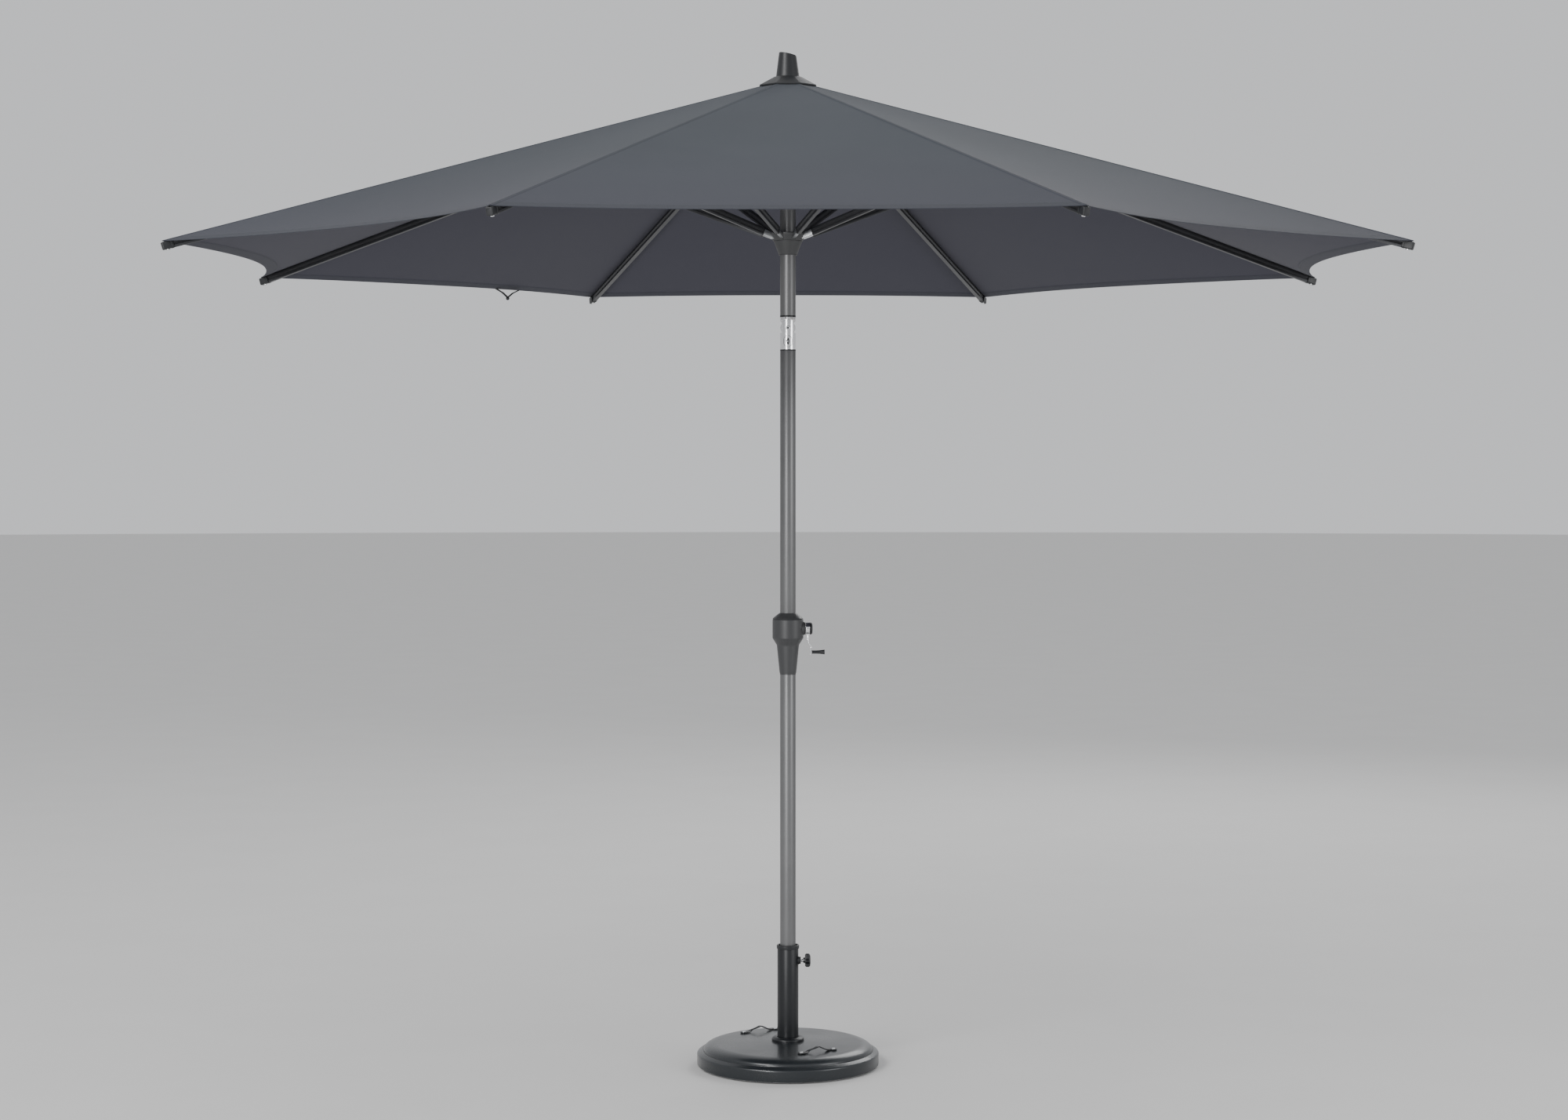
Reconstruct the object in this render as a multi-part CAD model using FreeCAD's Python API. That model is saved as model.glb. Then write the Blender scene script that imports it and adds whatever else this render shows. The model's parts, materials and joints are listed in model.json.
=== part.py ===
import FreeCAD, Part
import math
import os

# Patio umbrella on a weighted base. Millimetres, +Z up, origin at the centre of the footprint.
# The crank and the clamp knob face +X, the tilt button faces -Y. All sizes are of the open umbrella.

# Canopy and linkage
rib_count = 8
first_rib_azimuth = 22.5      # degrees from +X; the others follow every 360 / rib_count
canopy_radius = 1500.0        # pole axis to rib tip
rib_slope_open = 16.3         # degrees below level
hub_pin_z = 2361.5
pin_circle = 37.0             # radius of the hub pins and of the runner pins, which must be the same
strut_station = 520.0         # hub pin to strut bracket, along the rib
bracket_drop = 34.0           # strut pin below the rib's axis
rib_width, rib_height = 12.0, 18.0
strut_width, strut_height = 10.0, 19.0
extrusion_wall = 1.4
groove_depth = 1.0
groove_share = 0.34           # height of a side groove as a share of the section's height
tongue_width = 8.0
tongue_half_height = 6.5
rib_tongue_length = 24.0
strut_tongue_length = 28.0
shoulder = 3.0
plug_length = 22.0
tip_cap_length, tip_cap_width = 22.0, 15.0
bracket_sheet = 2.5
bracket_length = 28.0
eye_radius = 8.0
canopy_gap = 1.8              # rib top to cloth, which falls away on both sides of the rib's middle
canopy_thickness = 2.0
gore_columns, gore_rows = 4, 6
hem_mid_radius = 1296.0       # pole axis to the middle of a hem, which curves in between two tips
hem_sag = 28.0                # cloth below the flat gore, at the middle of the hem
canopy_hole_radius = 34.0
hem_drop = 1.0
strap_across, strap_width, strap_fall, strap_sheet, strap_inset = 0.32, 80.0, 22.0, 1.5, 12.0
bead_radius = 5.0

# Pole
pole_radius, pole_wall = 19.0, 1.5
pole_foot_z = 30.3
top_tube_end_z = 2377.5

# Tilt joint
tilt_z = 1783.0
tilt_body_low_z, tilt_body_top_z = 1731.0, 1809.0
tilt_ring = 3.0
tilt_ring_upper = 4.0
spigot_length = 40.0
tongue_half_thickness = 12.0
tilt_limit = 40.0
hinge_step = 1.0              # the tongue's round end inside the cheeks' radius
hinge_gap_depth = 12.0
wedge_margin = 2.0            # degrees left between the wedge and the cheeks at the tilt limit
stud_radius, stud_head_radius, stud_head_height, stud_depth = 3.0, 4.5, 1.5, 4.0
button_width, button_height, button_z = 20.0, 27.0, 1750.5
button_travel = 3.5
button_head, button_stem_radius, button_stem_length, button_stem_drop = 5.0, 4.5, 8.0, 2.0
nose_half_width, nose_start, nose_rise = 4.0, 4.0, 2.0
spring_wire, spring_radius, spring_room, spring_turns = 0.8, 3.4, 7.5, 4

# Head
hub_radius, hub_low_z, hub_rim_z, hub_top_z = 48.0, 2349.5, 2366.5, 2371.5
hub_collar_radius, hub_collar_top_z = 27.0, 2382.5
slot_floor_radius = 29.0
pin_radius, pin_length = 2.5, 20.0
pulley_groove_radius, pulley_width = 8.65, 6.0
pulley_y, pulley_z = 12.25, 2395.5
pulley_edge, pulley_floor_half, axle_radius = 0.6, 1.4, 2.0
lug_sheet, lug_half_width, lug_rise = 3.0, 6.0, 5.0
skirt_radius, skirt_edge = 74.0, 3.5
skirt_top_radius = 33.0
stub_radius_low, stub_radius_top, stub_top_z, stub_low_z = 29.0, 21.5, 2450.0, 2389.0
stub_slant = 9.0
finial_wall = 2.3

# Runner
crown_radius, crown_rise, crown_height, crown_rim, crown_low_radius = 44.5, 7.5, 18.0, 3.0, 36.0
cone_top_radius, cone_low_radius, cone_height = 34.0, 21.0, 35.0
runner_gap = 0.5

# Crank
crank_z = 1056.0
drum_radius, drum_inner_radius, drum_low_z, drum_top_z = 37.5, 34.0, 1033.0, 1079.0
tube_seat = 5.0               # length of pole tube inside the drum's floor and inside its cap
ledge_width = 0.5             # how far the drum's ledge reaches past the tube's wall
sleeve_radius, sleeve_low_z, sleeve_shoulder_radius, sleeve_shoulder_z = 20.25, 945.0, 27.0, 1016.0
housing_top_z, housing_top_radius = 1093.5, 20.3
boss_radius, boss_end_x = 15.0, 43.0
bush_radius, crank_shaft_radius = 8.0, 6.0
spool_core_radius, spool_flange_radius, spool_half_width, spool_flange = 8.0, 19.0, 16.0, 2.0
cord_layers = 4               # cord radii wound on one half of the spool
cord_radius = 1.25
arm_start_x, arm_eye_width, arm_cap_width, arm_length, arm_step = 43.5, 9.5, 7.0, 57.0, 7.0
arm_width, arm_thickness = 13.0, 4.0
bar_inset = 3.0
grip_length, grip_radius_low, grip_radius_end, spindle_radius = 31.0, 4.2, 5.8, 2.2
spindle_head, spindle_head_height, grip_recess = 1.4, 1.5, 2.0

# Base
base_radius, rim_height = 220.0, 31.0
ledge_radius, ledge_z = 206.0, 38.5           # the rim's top slopes up to here, then the dome starts
dome_foot_radius, dome_foot_z = 204.5, 40.5
bulge_radius, bulge_z = 194.2, 51.1           # halfway round the dome's shoulder
shoulder_radius, base_shoulder_z, base_top_z = 180.0, 55.0, 60.0
cover_sheet = 2.0
foot_height, foot_radius, foot_count, foot_circle, first_foot = 4.0, 15.0, 6, 180.0, 30.0
plate_sheet = 2.0
stem_radius, stem_wall, stem_foot_z, stem_top_z = 25.5, 2.0, 14.0, 288.0
stem_plug_height = 10.0
washer_radius, washer_height = 40.0, 3.0
bolt_radius, bolt_head_height, bolt_head_radius = 5.0, 5.0, 9.0
collar_radius, collar_height = 39.0, 10.0
lip_radius, lip_height = 27.5, 9.0
lip_rise = 3.0
cup_height = 30.0
clamp_z, clamp_boss_radius, clamp_boss_end_x = 253.0, 9.0, 31.0
clamp_screw_radius, clamp_pad_radius = 4.0, 3.6
knob_start_x, knob_length, knob_radius, knob_lobe_radius, knob_lobes = 41.0, 14.0, 12.5, 4.2, 6
knob_edge, shank_inset = 3.0, 4.0
handle_azimuths = (-60.0, 120.0)
handle_circle, handle_length, handle_width, handle_rise, handle_sheet = 140.0, 104.0, 12.0, 12.0, 3.0
handle_foot_margin = 2.0
handle_screw_radius, handle_screw_length, handle_screw_hole, handle_screw_head = 2.5, 18.0, 25.0, 1.5

# Clearances
apart = 0.3                   # between pieces of different bodies
running = 0.05                # radial, shaft in bore
fit = 0.05                    # between pieces of one body

V = FreeCAD.Vector
origin, X, Y, Z = V(0, 0, 0), V(1, 0, 0), V(0, 1, 0), V(0, 0, 1)

slope = math.radians(rib_slope_open)
rib_length = (canopy_radius - pin_circle) / math.cos(slope)
link_length = math.hypot(strut_station, bracket_drop)
link_slope = slope + math.atan2(bracket_drop, strut_station)
runner_pin_z = hub_pin_z - 2 * link_length * math.sin(link_slope)
tube_bore = pole_radius - pole_wall
slot_width = tongue_width + 2.6 * apart
half_gore = math.pi / rib_count

nodes = {}


def keep(node, *solids):
    nodes.setdefault(node, []).extend(solids)


def disc(radius, low, high):
    return Part.makeCylinder(radius, high - low, V(0, 0, low))


def ring(outer, inner, low, high):
    return disc(outer, low, high).cut(disc(inner, low - 1, high + 1))


def rod(radius, start, direction, length):
    return Part.makeCylinder(radius, length, start, direction)


def block(x0, x1, y0, y1, z0, z1):
    return Part.makeBox(x1 - x0, y1 - y0, z1 - z0, V(x0, y0, z0))


def outline(steps, point):
    """Closed face from corners (a, b) and arcs ((a, b) passed, (a, b) end); point turns (a, b) into a vector."""
    edges, here = [], steps[0]
    for step in list(steps[1:]) + [steps[0]]:
        if isinstance(step[0], tuple):
            edges.append(Part.Arc(point(*here), point(*step[0]), point(*step[1])).toShape())
            here = step[1]
        else:
            edges.append(Part.LineSegment(point(*here), point(*step)).toShape())
            here = step
    return Part.Face(Part.Wire(edges))


def revolved(*steps):
    """Solid of revolution about Z from an outline of (radius, z)."""
    return outline(steps, lambda r, z: V(r, 0, z)).revolve(origin, Z, 360)


def spun_on_x(z, *steps):
    """Solid of revolution about the line parallel to X at height z from an outline of (x, radius)."""
    return outline(steps, lambda x, r: V(x, 0, z + r)).revolve(V(0, 0, z), X, 360)


def prism(steps, low_y, high_y):
    """Outline of (x, z) given a thickness from low_y to high_y."""
    return outline(steps, lambda x, z: V(x, low_y, z)).extrude(V(0, high_y - low_y, 0))


def turned(shape, azimuth):
    copy = shape.copy()
    copy.rotate(origin, Z, azimuth)
    return copy


def around(shape, count, first=0.0):
    return [turned(shape, first + 360.0 / count * n) for n in range(count)]


def polyhedron(points, triangles):
    shell = Part.Shape()
    shell.makeShapeFromMesh((points, triangles), 0.001)
    solid = Part.Solid(shell)
    return solid if solid.Volume > 0 else solid.reversed()


def solid_between(upper, lower):
    """Closed solid between two grids of points of the same size."""
    rows, columns = len(upper), len(upper[0])
    points = [p for row in upper for p in row] + [p for row in lower for p in row]
    under = rows * columns

    def at(i, j):
        return i * columns + j

    triangles = []
    for i in range(rows - 1):
        for j in range(columns - 1):
            a, b, c, d = at(i, j), at(i + 1, j), at(i + 1, j + 1), at(i, j + 1)
            triangles += [(a, b, c), (a, c, d)]
            triangles += [(a + under, c + under, b + under), (a + under, d + under, c + under)]
    edge = [at(i, 0) for i in range(rows)] + [at(rows - 1, j) for j in range(1, columns)]
    edge += [at(i, columns - 1) for i in range(rows - 2, -1, -1)]
    edge += [at(0, j) for j in range(columns - 2, 0, -1)]
    for a, b in zip(edge, edge[1:] + edge[:1]):
        triangles += [(a, a + under, b), (b, a + under, b + under)]
    return polyhedron(points, triangles)


def octagon_stack(*rings):
    """Closed solid through polygons with a corner over each rib, given as (corner radius, z) from the bottom."""
    points = []
    for radius, z in rings:
        for n in range(rib_count):
            angle = math.radians(first_rib_azimuth) + 2 * math.pi * n / rib_count
            points.append(V(radius * math.cos(angle), radius * math.sin(angle), z))
    bottom, top = len(points), len(points) + 1
    points += [V(0, 0, rings[0][1]), V(0, 0, rings[-1][1])]
    last = (len(rings) - 1) * rib_count
    triangles = []
    for n in range(rib_count):
        m = (n + 1) % rib_count
        triangles += [(bottom, m, n), (top, last + n, last + m)]
        for level in range(0, last, rib_count):
            a, b, c, d = level + n, level + m, level + rib_count + m, level + rib_count + n
            triangles += [(a, b, c), (a, c, d)]
    return polyhedron(points, triangles)


def rib_azimuth(number):
    return first_rib_azimuth + 360.0 / rib_count * (number - 1)


def on_rib(shape, number):
    """From the rib's own frame, with the hub pin at the origin and the rib along +X, to its place."""
    placed = shape.copy()
    placed.rotate(origin, Y, rib_slope_open)
    placed.translate(V(pin_circle, 0, hub_pin_z))
    return turned(placed, rib_azimuth(number))


def on_strut(shape, number):
    """From the strut's own frame, with the runner pin at the origin and the strut along +X, to its place."""
    placed = shape.copy()
    placed.rotate(origin, Y, -math.degrees(link_slope))
    placed.translate(V(pin_circle, 0, runner_pin_z))
    return turned(placed, rib_azimuth(number))


def cloth_z(radius):
    """Underside of the cloth over a rib."""
    rise = (rib_height / 2 + canopy_gap) / math.cos(slope)
    return hub_pin_z - (radius - pin_circle) * math.tan(slope) + rise


def grooved_tube(width, height, start, end):
    w, h, m = width / 2, height / 2, height * groove_share / 2
    g = w - groove_depth
    corners = [(-w, -h), (w, -h), (w, -m), (g, -m), (g, m), (w, m)]
    corners += [(-y, -z) for y, z in corners]
    face = outline(corners, lambda y, z: V(start, y, z))
    inside = extrusion_inside(width, height, start - 1, end + 1, 0)
    return face.extrude(V(end - start, 0, 0)).cut(inside)


def extrusion_inside(width, height, start, end, clearance):
    y = width / 2 - groove_depth - extrusion_wall - clearance
    z = height / 2 - extrusion_wall - clearance
    return block(start, end, -y, y, -z, z)


def pin_hole(x, z, radius, reach):
    return rod(radius, V(x, -reach, z), Y, 2 * reach)


def tongue_fitting(width, height, length, pin, nose):
    """Flat tongue with a pin hole at the origin, a shoulder of the full section and a plug for the tube."""
    half = tongue_width / 2
    tongue = rod(nose, V(0, -half, 0), Y, tongue_width)
    tongue = tongue.fuse(block(0, length + 1, -half, half, -tongue_half_height, tongue_half_height))
    collar = block(length, length + shoulder, -width / 2, width / 2, -height / 2, height / 2)
    start = length + shoulder
    plug = extrusion_inside(width, height, start - 1, start + plug_length, fit)
    return tongue.fuse([collar, plug]).removeSplitter().cut(pin_hole(0, 0, pin + running, width))


def make_rib():
    start, end = rib_tongue_length + shoulder, rib_length - tip_cap_length
    tube = grooved_tube(rib_width, rib_height, start, end)
    inner = tongue_fitting(rib_width, rib_height, rib_tongue_length, pin_radius, tongue_half_height + 0.5)
    cap_half = tip_cap_width / 2
    cap = block(end, rib_length, -cap_half, cap_half, -rib_height / 2, rib_height / 2)
    cap = cap.fuse(extrusion_inside(rib_width, rib_height, end - plug_length, end + 1, fit))
    return [tube, inner, cap.removeSplitter()] + make_bracket()


def make_bracket():
    """Sheet bracket under the rib: two ears joined by a bridge, and the strut's pin through them."""
    middle, half = strut_station, bracket_length / 2
    inside = rib_width / 2 + fit
    outside = inside + bracket_sheet
    under = -rib_height / 2 - fit
    sides = [
        (middle - half, under / 3),
        (middle + half, under / 3),
        (middle + half, under - bracket_sheet),
        (middle + eye_radius, -bracket_drop),
        (middle - eye_radius, -bracket_drop),
        (middle - half, under - bracket_sheet),
    ]
    ear = prism(sides, inside, outside)
    ear = ear.fuse(rod(eye_radius, V(middle, inside, -bracket_drop), Y, bracket_sheet))
    other = ear.mirror(origin, Y)
    bridge = block(middle - half, middle + half, -outside, outside, under - bracket_sheet, under)
    hole = pin_hole(middle, -bracket_drop, pin_radius + fit / 2, 2 * outside)
    bracket = ear.fuse([other, bridge]).removeSplitter().cut(hole)
    pin = pin_hole(middle, -bracket_drop, pin_radius, outside + 1)
    return [bracket, pin]


def make_strut():
    eye_half = rib_width / 2 - apart
    end = link_length - 2.6 * eye_radius
    tube = grooved_tube(strut_width, strut_height, strut_tongue_length + shoulder, end)
    inner = tongue_fitting(strut_width, strut_height, strut_tongue_length, pin_radius, tongue_half_height)
    eye = rod(eye_radius, V(link_length, -eye_half, 0), Y, 2 * eye_half)
    eye = eye.fuse(block(end, link_length, -eye_half, eye_half, -eye_radius, eye_radius))
    plug = extrusion_inside(strut_width, strut_height, end - plug_length, end + 1, fit)
    eye = eye.fuse(plug).removeSplitter().cut(pin_hole(link_length, 0, pin_radius + running, rib_width))
    return [tube, inner, eye]


def gore_point(along, across):
    """Underside of the cloth. along runs from the apex to the hem, across from -1 to 1 between two ribs.
    Each line from the apex is straight in plan and ends on the hem, a parabola in plan between two tips."""
    tip_reach, half_width = canopy_radius * math.cos(half_gore), canopy_radius * math.sin(half_gore)
    reach = along * (hem_mid_radius + (tip_reach - hem_mid_radius) * across ** 2)
    side = along * half_width * across
    sag = hem_sag * along ** 1.5 * (1 - across ** 2)
    return reach, side, cloth_z(reach / math.cos(half_gore)) - sag


def make_canopy_panel(number):
    """The cloth that one rib carries: half of the gore on each side of it."""
    halves, rows = gore_columns, gore_rows
    first = canopy_hole_radius / canopy_radius
    grid = []
    for i in range(rows + 1):
        along = first + (1 - first) * i / rows
        row = []
        for j in range(-halves, halves + 1):
            side = 1 if j >= 0 else -1
            across = side * (abs(j) / halves - 1)
            reach, offset, z = gore_point(along, across)
            offset = offset if abs(j) < halves else -side * apart / 2
            angle = math.radians(rib_azimuth(number)) + side * half_gore
            c, s = math.cos(angle), math.sin(angle)
            row.append(V(reach * c - offset * s, reach * s + offset * c, z))
        grid.append(row)
    raised = [[p + V(0, 0, canopy_thickness) for p in row] for row in grid]
    return solid_between(raised, grid)


def make_tie_strap():
    """Loop of webbing that hangs from the hem beside rib 3, with its bead at the bottom of the loop."""
    fall, sheet, bead = strap_fall, strap_sheet, bead_radius
    reach, offset, z = gore_point(1.0, -strap_across)
    top = z - apart - hem_drop
    half = strap_width / 2
    strap = prism([(-half, top), (half, top), (0, top - fall)], -3 * sheet, 3 * sheet)
    hollow = [(-half + 4 * sheet, top + 1), (half - 4 * sheet, top + 1), (0, top - fall + 2.5 * sheet)]
    strap = strap.cut(prism(hollow, -10 * sheet, 10 * sheet))
    ball = Part.makeSphere(bead, V(0, 0, top - fall - bead + sheet))
    loop = strap.cut(ball)
    placed = []
    for piece in (loop, ball):
        piece.rotate(origin, Z, 90)
        piece.translate(V(reach - strap_inset, offset, 0))
        placed += turned(piece, rib_azimuth(3) + math.degrees(half_gore)).Solids
    return placed


def make_pole():
    keep("lower_tube", ring(pole_radius, tube_bore, pole_foot_z, drum_low_z - tube_seat))
    keep("mid_tube", ring(pole_radius, tube_bore, drum_top_z + tube_seat, tilt_body_low_z - tilt_ring))
    keep("top_tube", ring(pole_radius, tube_bore, tilt_body_top_z + tilt_ring_upper, top_tube_end_z))


def cord_line():
    """The cord's straight run up the pole, from the spool to where it meets the pulley's circle."""
    turn = pulley_groove_radius + apart + cord_radius
    start = V(0, spool_core_radius + apart + cord_radius, crank_z)
    dy, dz = pulley_y - start.y, pulley_z - start.z
    distance = math.hypot(dy, dz)
    run = math.sqrt(distance ** 2 - turn ** 2)
    heading = math.atan2(dz, dy) + math.asin(turn / distance)
    return start, V(0, math.cos(heading), math.sin(heading)), run, turn


def make_lift_cord():
    start, direction, run, turn = cord_line()
    up = rod(cord_radius, start, direction, run)
    meet = start + direction * run
    centre = V(0, pulley_y, pulley_z)
    across = meet - centre
    sweep = math.degrees(math.atan2(across.z, across.y)) % 360
    section = Part.Face(Part.Wire(Part.makeCircle(cord_radius, meet, direction)))
    over = section.revolve(centre, V(-1, 0, 0), sweep)
    fall_y = pulley_y + turn
    low = runner_pin_z + crown_rise - 10
    down = rod(cord_radius, V(0, fall_y, low), Z, pulley_z - low)
    keep("lift_cord", up.fuse([over, down]))


def cord_channel(low, high):
    start, direction, _, _ = cord_line()
    first = start + direction * ((low - start.z) / direction.z)
    return rod(2 * cord_radius, first, direction, (high - low) / direction.z)


def make_tilt_joint():
    r, t, c = pole_radius, tongue_half_thickness, apart
    inner = r - hinge_step
    low_seat = tilt_body_low_z - tilt_ring
    top_seat = tilt_body_top_z + tilt_ring_upper
    channel = cord_channel(low_seat - spigot_length - 1, top_seat + spigot_length + 1)

    cheek = rod(r, V(0, -r, tilt_z), Y, 2 * r).common(disc(r, tilt_z - r, tilt_z + r))
    lower = disc(r, tilt_body_low_z, tilt_z).fuse(cheek)
    lower = lower.fuse(disc(tube_bore - fit, low_seat - spigot_length, tilt_body_low_z)).removeSplitter()
    gap = block(-2 * r, 2 * r, -t - c, t + c, tilt_z - hinge_gap_depth, tilt_z + 2 * r)
    gap = gap.fuse(rod(inner + c, V(0, -t - c, tilt_z), Y, 2 * (t + c)))
    lower = lower.cut([gap, channel, button_pocket()])

    height = tilt_body_top_z - tilt_z
    spread = height * math.tan(math.radians(90 - wedge_margin - tilt_limit))
    wedge = prism([(0, tilt_z), (spread, tilt_body_top_z), (-spread, tilt_body_top_z)], -r, r)
    wedge = wedge.common(disc(r, tilt_z, tilt_body_top_z))
    beside = rod(r + 1.4 * c, V(0, -r - 1, tilt_z), Y, 2 * r + 2).cut(block(-2 * r, 2 * r, -t, t, 0, 2 * tilt_z))
    upper = wedge.cut(beside).fuse(rod(inner, V(0, -t, tilt_z), Y, 2 * t).common(disc(r, 0, 2 * tilt_z)))
    upper = upper.fuse(disc(tube_bore - fit, tilt_body_top_z - 1, top_seat + spigot_length))
    upper = upper.removeSplitter().cut([channel, pin_hole(0, tilt_z, stud_radius + running, t + 1)])

    studs = []
    for side in (-1, 1):
        face = math.sqrt(r ** 2 - stud_head_radius ** 2) - 0.1
        outward = V(0, side, 0)
        head = rod(stud_head_radius, V(0, side * (face - stud_head_height), tilt_z), outward, stud_head_height)
        shank = rod(stud_radius, V(0, side * (t - stud_depth), tilt_z), outward, face - t + stud_depth - 1)
        studs.append(shank.fuse(head).removeSplitter())
        lower = lower.cut(rod(stud_radius + fit, V(0, side * (t - stud_depth), tilt_z), outward, r))
        seat = V(0, side * (face - stud_head_height - fit), tilt_z)
        lower = lower.cut(rod(stud_head_radius + fit, seat, outward, r))
    keep("tilt_lower_knuckle", lower, ring(r, tube_bore, low_seat, tilt_body_low_z))
    keep("tilt_upper_knuckle", upper, ring(r, tube_bore, tilt_body_top_z, top_seat))
    keep("tilt_studs", *studs)


def stadium(width, height, z, low_y, high_y):
    half = width / 2
    straight = (height - width) / 2
    low, high = z - straight, z + straight
    steps = [(-half, low), ((0, low - half), (half, low)), (half, high), ((0, high + half), (-half, high))]
    return prism(steps, low_y, high_y)


def button_pocket():
    r, c = pole_radius, apart
    back, stem_z = -r + button_head, button_z - button_stem_drop
    head = stadium(button_width + 2 * c, button_height + 2 * c, button_z, -r - 1, back + button_travel + c)
    floor = back + button_stem_length + spring_room
    bore = rod(button_stem_radius + c, V(0, -r, stem_z), Y, floor + r)
    wide, end = nose_half_width + c, back + button_stem_length + button_travel
    nose = block(-wide, wide, back + nose_start, end, stem_z, tilt_z - pole_radius + nose_rise)
    return head.fuse([bore, nose])


def make_tilt_button():
    r = pole_radius
    back, stem_z = -r + button_head, button_z - button_stem_drop
    head = stadium(button_width, button_height, button_z, -r - 1, back).common(disc(r - 0.1, 0, 2 * tilt_z))
    stem_end = back + button_stem_length
    stem = rod(button_stem_radius, V(0, back - 1, stem_z), Y, button_stem_length + 1)
    wide, start = nose_half_width, stem_end - 0.75 * nose_start
    nose = block(-wide, wide, start, stem_end, stem_z, tilt_z - pole_radius + 0.1 * nose_rise)
    keep("tilt_button", head.fuse([stem, nose]).removeSplitter())

    length = spring_room - 2 * spring_wire
    helix = Part.Wire(Part.makeHelix(length / spring_turns, length, spring_radius))
    section = Part.Wire(Part.makeCircle(spring_wire / 2, V(spring_radius, 0, 0), Y))
    spring = helix.makePipeShell([section], True, True)
    spring.rotate(origin, X, -90)
    spring.translate(V(0, stem_end + spring_wire, stem_z))
    keep("button_spring", spring)


def make_hub():
    low_bore, r = pole_radius + fit, hub_collar_radius
    body = revolved(
        (low_bore, hub_low_z), (hub_radius, hub_low_z), (hub_radius, hub_rim_z), (slot_floor_radius, hub_top_z),
        (r, hub_top_z), (r, hub_collar_top_z), (0, hub_collar_top_z), (0, top_tube_end_z),
        (low_bore, top_tube_end_z),
    )
    slot = block(slot_floor_radius, hub_radius + 5, -slot_width / 2, slot_width / 2, hub_low_z - 1, hub_top_z + 1)
    pin = pin_hole(pin_circle, hub_pin_z, pin_radius, pin_length / 2)
    hole = pin_hole(pin_circle, hub_pin_z, pin_radius + fit / 2, pin_length / 2 + fit)
    body = body.cut(around(slot, rib_count, first_rib_azimuth))
    body = body.cut(around(hole, rib_count, first_rib_azimuth))
    lug_inside = pulley_width / 2 + 2 * apart
    lug = block(
        lug_inside, lug_inside + lug_sheet, pulley_y - lug_half_width, pulley_y + lug_half_width,
        hub_collar_top_z - 1, pulley_z + lug_rise,
    )
    body = body.fuse([lug, lug.mirror(origin, X)]).removeSplitter()
    axle_reach = lug_inside + lug_sheet + 1
    body = body.cut(rod(axle_radius + fit / 2, V(-axle_reach, pulley_y, pulley_z), X, 2 * axle_reach))
    _, _, _, turn = cord_line()
    fall = rod(1.6 * cord_radius, V(0, pulley_y + turn, hub_low_z - 1), Z, pulley_z - hub_low_z)
    keep("hub", body.cut([fall, cord_channel(top_tube_end_z - 5, hub_collar_top_z + 3)]))
    axle = rod(axle_radius, V(-axle_reach, pulley_y, pulley_z), X, 2 * axle_reach)
    keep("hub_pins", *around(pin, rib_count, first_rib_azimuth), axle)

    half, rim, groove = pulley_width / 2, pulley_groove_radius + 2 * cord_radius, pulley_groove_radius
    wheel = spun_on_x(
        0, (-half, axle_radius + running), (-half, rim), (-half + pulley_edge, rim), (-pulley_floor_half, groove),
        (pulley_floor_half, groove), (half - pulley_edge, rim), (half, rim), (half, axle_radius + running),
    )
    wheel.translate(V(0, pulley_y, pulley_z))
    keep("pulley", wheel)


def make_finial():
    """Octagonal skirt that holds the cloth down and a hollow tapered stub with a slanted top."""
    lift = canopy_thickness + 2 * apart
    low = cloth_z(skirt_radius) + lift
    skirt = octagon_stack((skirt_radius, low), (skirt_radius, low + skirt_edge), (skirt_top_radius, stub_low_z + 1))
    outer, inner = 1.1 * skirt_radius, 0.75 * hub_collar_radius
    under = octagon_stack(
        (outer, low - 20), (outer, cloth_z(outer) + lift), (inner, cloth_z(inner) + lift)
    )
    taper = (stub_radius_low - stub_radius_top) / (stub_top_z - stub_low_z)
    seat = hub_collar_top_z + fit
    roof = stub_top_z - stub_slant - 2 * finial_wall

    def stub_radius(z):
        return stub_radius_low - taper * (z - stub_low_z)

    stub = revolved((0, low), (stub_radius(low), low), (stub_radius_top, stub_top_z), (0, stub_top_z))
    reach = 2 * stub_radius_low
    slant = prism(
        [(-stub_radius_top, stub_top_z), (reach, stub_top_z - stub_slant * 2), (reach, stub_top_z + reach)],
        -reach, reach,
    )
    hollow = revolved(
        (0, low - 30), (hub_collar_radius + fit, low - 30), (hub_collar_radius + fit, seat),
        (stub_radius(seat) - finial_wall - 1, seat), (stub_radius(roof) - finial_wall, roof), (0, roof),
    )
    finial = skirt.fuse(stub).cut(under).cut([slant, hollow])
    keep("finial", finial)


def make_runner():
    top = runner_pin_z + crown_rise
    step = top - crown_height
    bottom = step - cone_height
    bore = pole_radius + runner_gap
    body = revolved(
        (bore, bottom), (cone_low_radius, bottom), (cone_top_radius, step - 1), (cone_top_radius, step),
        (crown_low_radius, step), (crown_radius, top - crown_rim), (crown_radius, top), (bore, top),
    )
    floor = runner_pin_z - tongue_half_height - 2 * apart
    slot = block(slot_floor_radius, crown_radius + 5, -slot_width / 2, slot_width / 2, floor, top + 1)
    pin = pin_hole(pin_circle, runner_pin_z, pin_radius, pin_length / 2)
    hole = pin_hole(pin_circle, runner_pin_z, pin_radius + fit / 2, pin_length / 2 + fit)
    _, _, _, turn = cord_line()
    anchor = rod(1.6 * cord_radius, V(0, pulley_y + turn, top - 12), Z, 20)
    body = body.cut(around(slot, rib_count, first_rib_azimuth))
    keep("runner", body.cut(around(hole, rib_count, first_rib_azimuth)).cut(anchor))
    keep("runner_pins", *around(pin, rib_count, first_rib_azimuth))


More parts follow.
